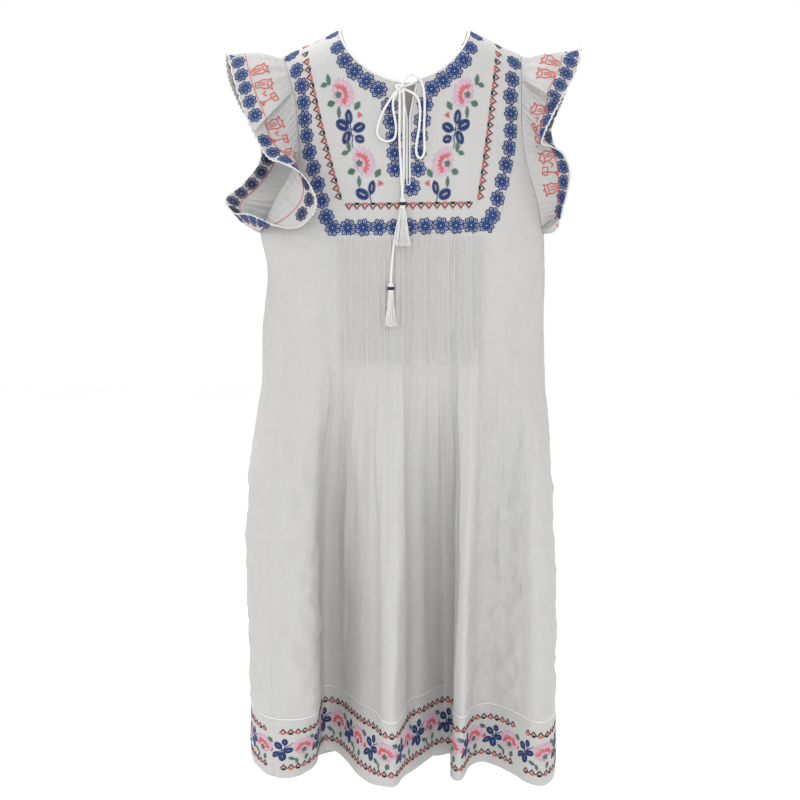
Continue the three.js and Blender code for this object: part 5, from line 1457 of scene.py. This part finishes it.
for path, count in zigzagRows:
    points, ahead = evenPlaces(path, count, ends=False)
    sewRound(yokeWork, yokeSurface, [(x, z, tooth(k % 2, True), math.atan2(dz, dx) + math.pi, 1.0)
                                     for k, ((x, z), (dx, dz)) in enumerate(zip(points, ahead))], yokeSteps, 1)


def yokeColumn():  # one side of the yoke, as on the left
    marks = laid(rose(), -68, -16, 70)
    marks += leaf(-35, 89, 17, 7, 100) + leaf(-41, 82, 11, 7.5, 20) + leaf(-31, 56, 12, 10, 20) + leaf(-20, 44, 18, 6, 92)
    marks += leaf(6, 53, 14, 9, 60) + bud(9, 40, 25)
    marks += laid(sprig(), 0, -3, 20)
    marks += laid(rose(), -68, 14, -25)
    marks += leaf(-6, -3, 17, 7, 100) + leaf(-11, -12, 11, 7.5, 20) + leaf(-2, -38, 12, 10, 20) + leaf(9, -52, 17, 6, 92)
    marks += leaf(35, -40, 14, 9, 60) + bud(38, -54, 25)
    return marks + laid(smallSprig(), 0, 21, -69)


for side in (-1, 1):
    column = yokeColumn()
    if side > 0:
        column = [(tone, width, closed, points * [-0.95, 1]) for tone, width, closed, points in column]
    sewFlat(yokeWork, yokeSurface, -68 if side < 0 else 73, -163, column, yokeSteps, 1)
finishWork("yoke_embroidery", yokeWork)


hemRow = {"pitch": 11.3, "upper": 1034, "lower": 1096, "middle": 1063, "repeat": 74, "gap": 9}


def hemRepeat():  # sprig, rose, leaves and bud of one repeat
    marks = laid(sprig(), 118, -21, 0, 0.80) + laid(rose(), 0, 15, 2, 0.98)
    marks += leaf(-6, -15, 13, 6, -20) + leaf(2, -20, 11, 5, -80) + leaf(20, -18, 11, 8, 70)
    return marks + leaf(33, 15, 13, 7, -30) + bud(37, -2, 0)


for word in ("front", "left", "right", "back"):
    work, length = newWork(), borderReach[word][1][-1]
    surface = lambda u, v, word=word: borderSurface(word, u, v)
    count = int((length - 2 * hemRow["gap"]) / hemRow["pitch"])
    for k in range(count):
        at = length / 2 + (k - (count - 1) / 2) * hemRow["pitch"]
        for level in ("upper", "lower"):
            sewFlat(work, surface, at, hemRow[level], tooth((k + (level == "lower")) % 2), (0.5, 0.5), -1, -1)
    repeats = max(1, int(round(length / hemRow["repeat"])))
    room = length / repeats / hemRow["repeat"]
    for k in range(repeats):
        marks = [(tone, wide, closed, points * [min(1.0, room), 1]) for tone, wide, closed, points in hemRepeat()]
        sewFlat(work, surface, (k + 0.5) * length / repeats, hemRow["middle"], marks, (0.5, 0.5), -1, -1)
    finishWork("border_embroidery_" + word, work)


ruffleRow = {"daisies": {-1: 35, 1: 31}, "daisyShare": 0.855, "daisySize": 0.98, "lineShare": 0.70,
             "tulipShare": 0.51, "tulipSize": 1.5, "tulips": (16, 0.15, 0.60),
             "steps": (0.002, 0.015), "scallops": 112, "rim": 0.99, "loop": 0.022, "roll": (2.4, 2.2)}


def outline(lines, width=1.55, step=1.8):  # short steps, so that a line follows the pleats
    marks = []
    for line in lines:
        line = np.array(line, float)
        reach = reachAlong(line)
        at = np.union1d(reach, np.arange(0, reach[-1], step))
        marks.append(("red", width, False, np.stack([np.interp(at, reach, line[:, k]) for k in (0, 1)], 1)))
    return marks


def tulip():
    return outline([[(-3, -8), (3, -8), (3.4, -3), (5.2, 0), (4.2, 5), (0, 3.4), (-4.2, 5), (-5.2, 0), (-3.4, -3),
                     (-3, -8)], [(-1.1, -6.4), (-1.1, 2)], [(1.2, -6.4), (1.2, 2)],
                    [(-4.2, 5), (-6.4, 8), (-2, 7), (0, 9.6), (2, 7), (6.4, 8), (4.2, 5)]])


def tulipLink():
    bar = np.array([(-4, -9), (4, -9), (0, -3)])
    lines = [[(0, -4), (0, 7)], [(-4, 3), (-4, 8), (4, 8), (4, 3), (-4, 3)], [(4, 0), (8, -2), (9, 2)]]
    return satin("red", [bar], 0, 1.1, 1.3) + outline(lines)


def evenTurns(side, share, count, first=0.0, last=1.0):
    fine = np.linspace(first, last, 721)
    line = sleeveSurface(side, fine, share)
    reach = reachAlong(line)
    return np.interp((np.arange(count) + 0.5) * reach[-1] / count, reach, fine)


for side, word in ((-1, "left"), (1, "right")):
    work = newWork()
    surface = lambda u, v, side=side: sleeveSurface(side, u, v)
    steps, level = ruffleRow["steps"], ruffleRow["daisyShare"]
    turns = evenTurns(side, level, ruffleRow["daisies"][side])
    fine = np.linspace(0, 1, 260)[:-1]
    for face in (-side, side):  # the right side of the cloth, then the wrong side, whose daisies are in the darker navy as painted shade
        dark = face == side
        row = [(turn, level, daisy(dark), 0.4 * k, ruffleRow["daisySize"]) for k, turn in enumerate(turns)]
        sewRound(work, surface, row, steps, face, -1, (0.0, 1.0))
        layMarks(work, *facing(surface, fine, ruffleRow["lineShare"] + 0 * fine, steps, face), [("red", 1.5, True, fine)])
    scallops = np.linspace(0, 1, 6 * ruffleRow["scallops"] + 1)[:-1]  # rolled edge in small loops
    rim = ruffleRow["rim"] + ruffleRow["loop"] * np.abs(np.sin(np.pi * ruffleRow["scallops"] * scallops))
    place, normal = facing(surface, scallops, rim, steps, -side)
    addThread(work, place - normal * sewing["over"], normal, "white", *ruffleRow["roll"], True)
    level = ruffleRow["tulipShare"]
    heads = [(turn, level, tulipLink() if k % 3 == 1 else tulip(), 0.2 * (-1) ** k, ruffleRow["tulipSize"])
             for k, turn in enumerate(evenTurns(side, level, *ruffleRow["tulips"]))]
    sewRound(work, surface, heads, steps, -side, -1, (0.0, 1.0))
    finishWork("ruffle_embroidery_" + word, work)
print("embroidery sewn")
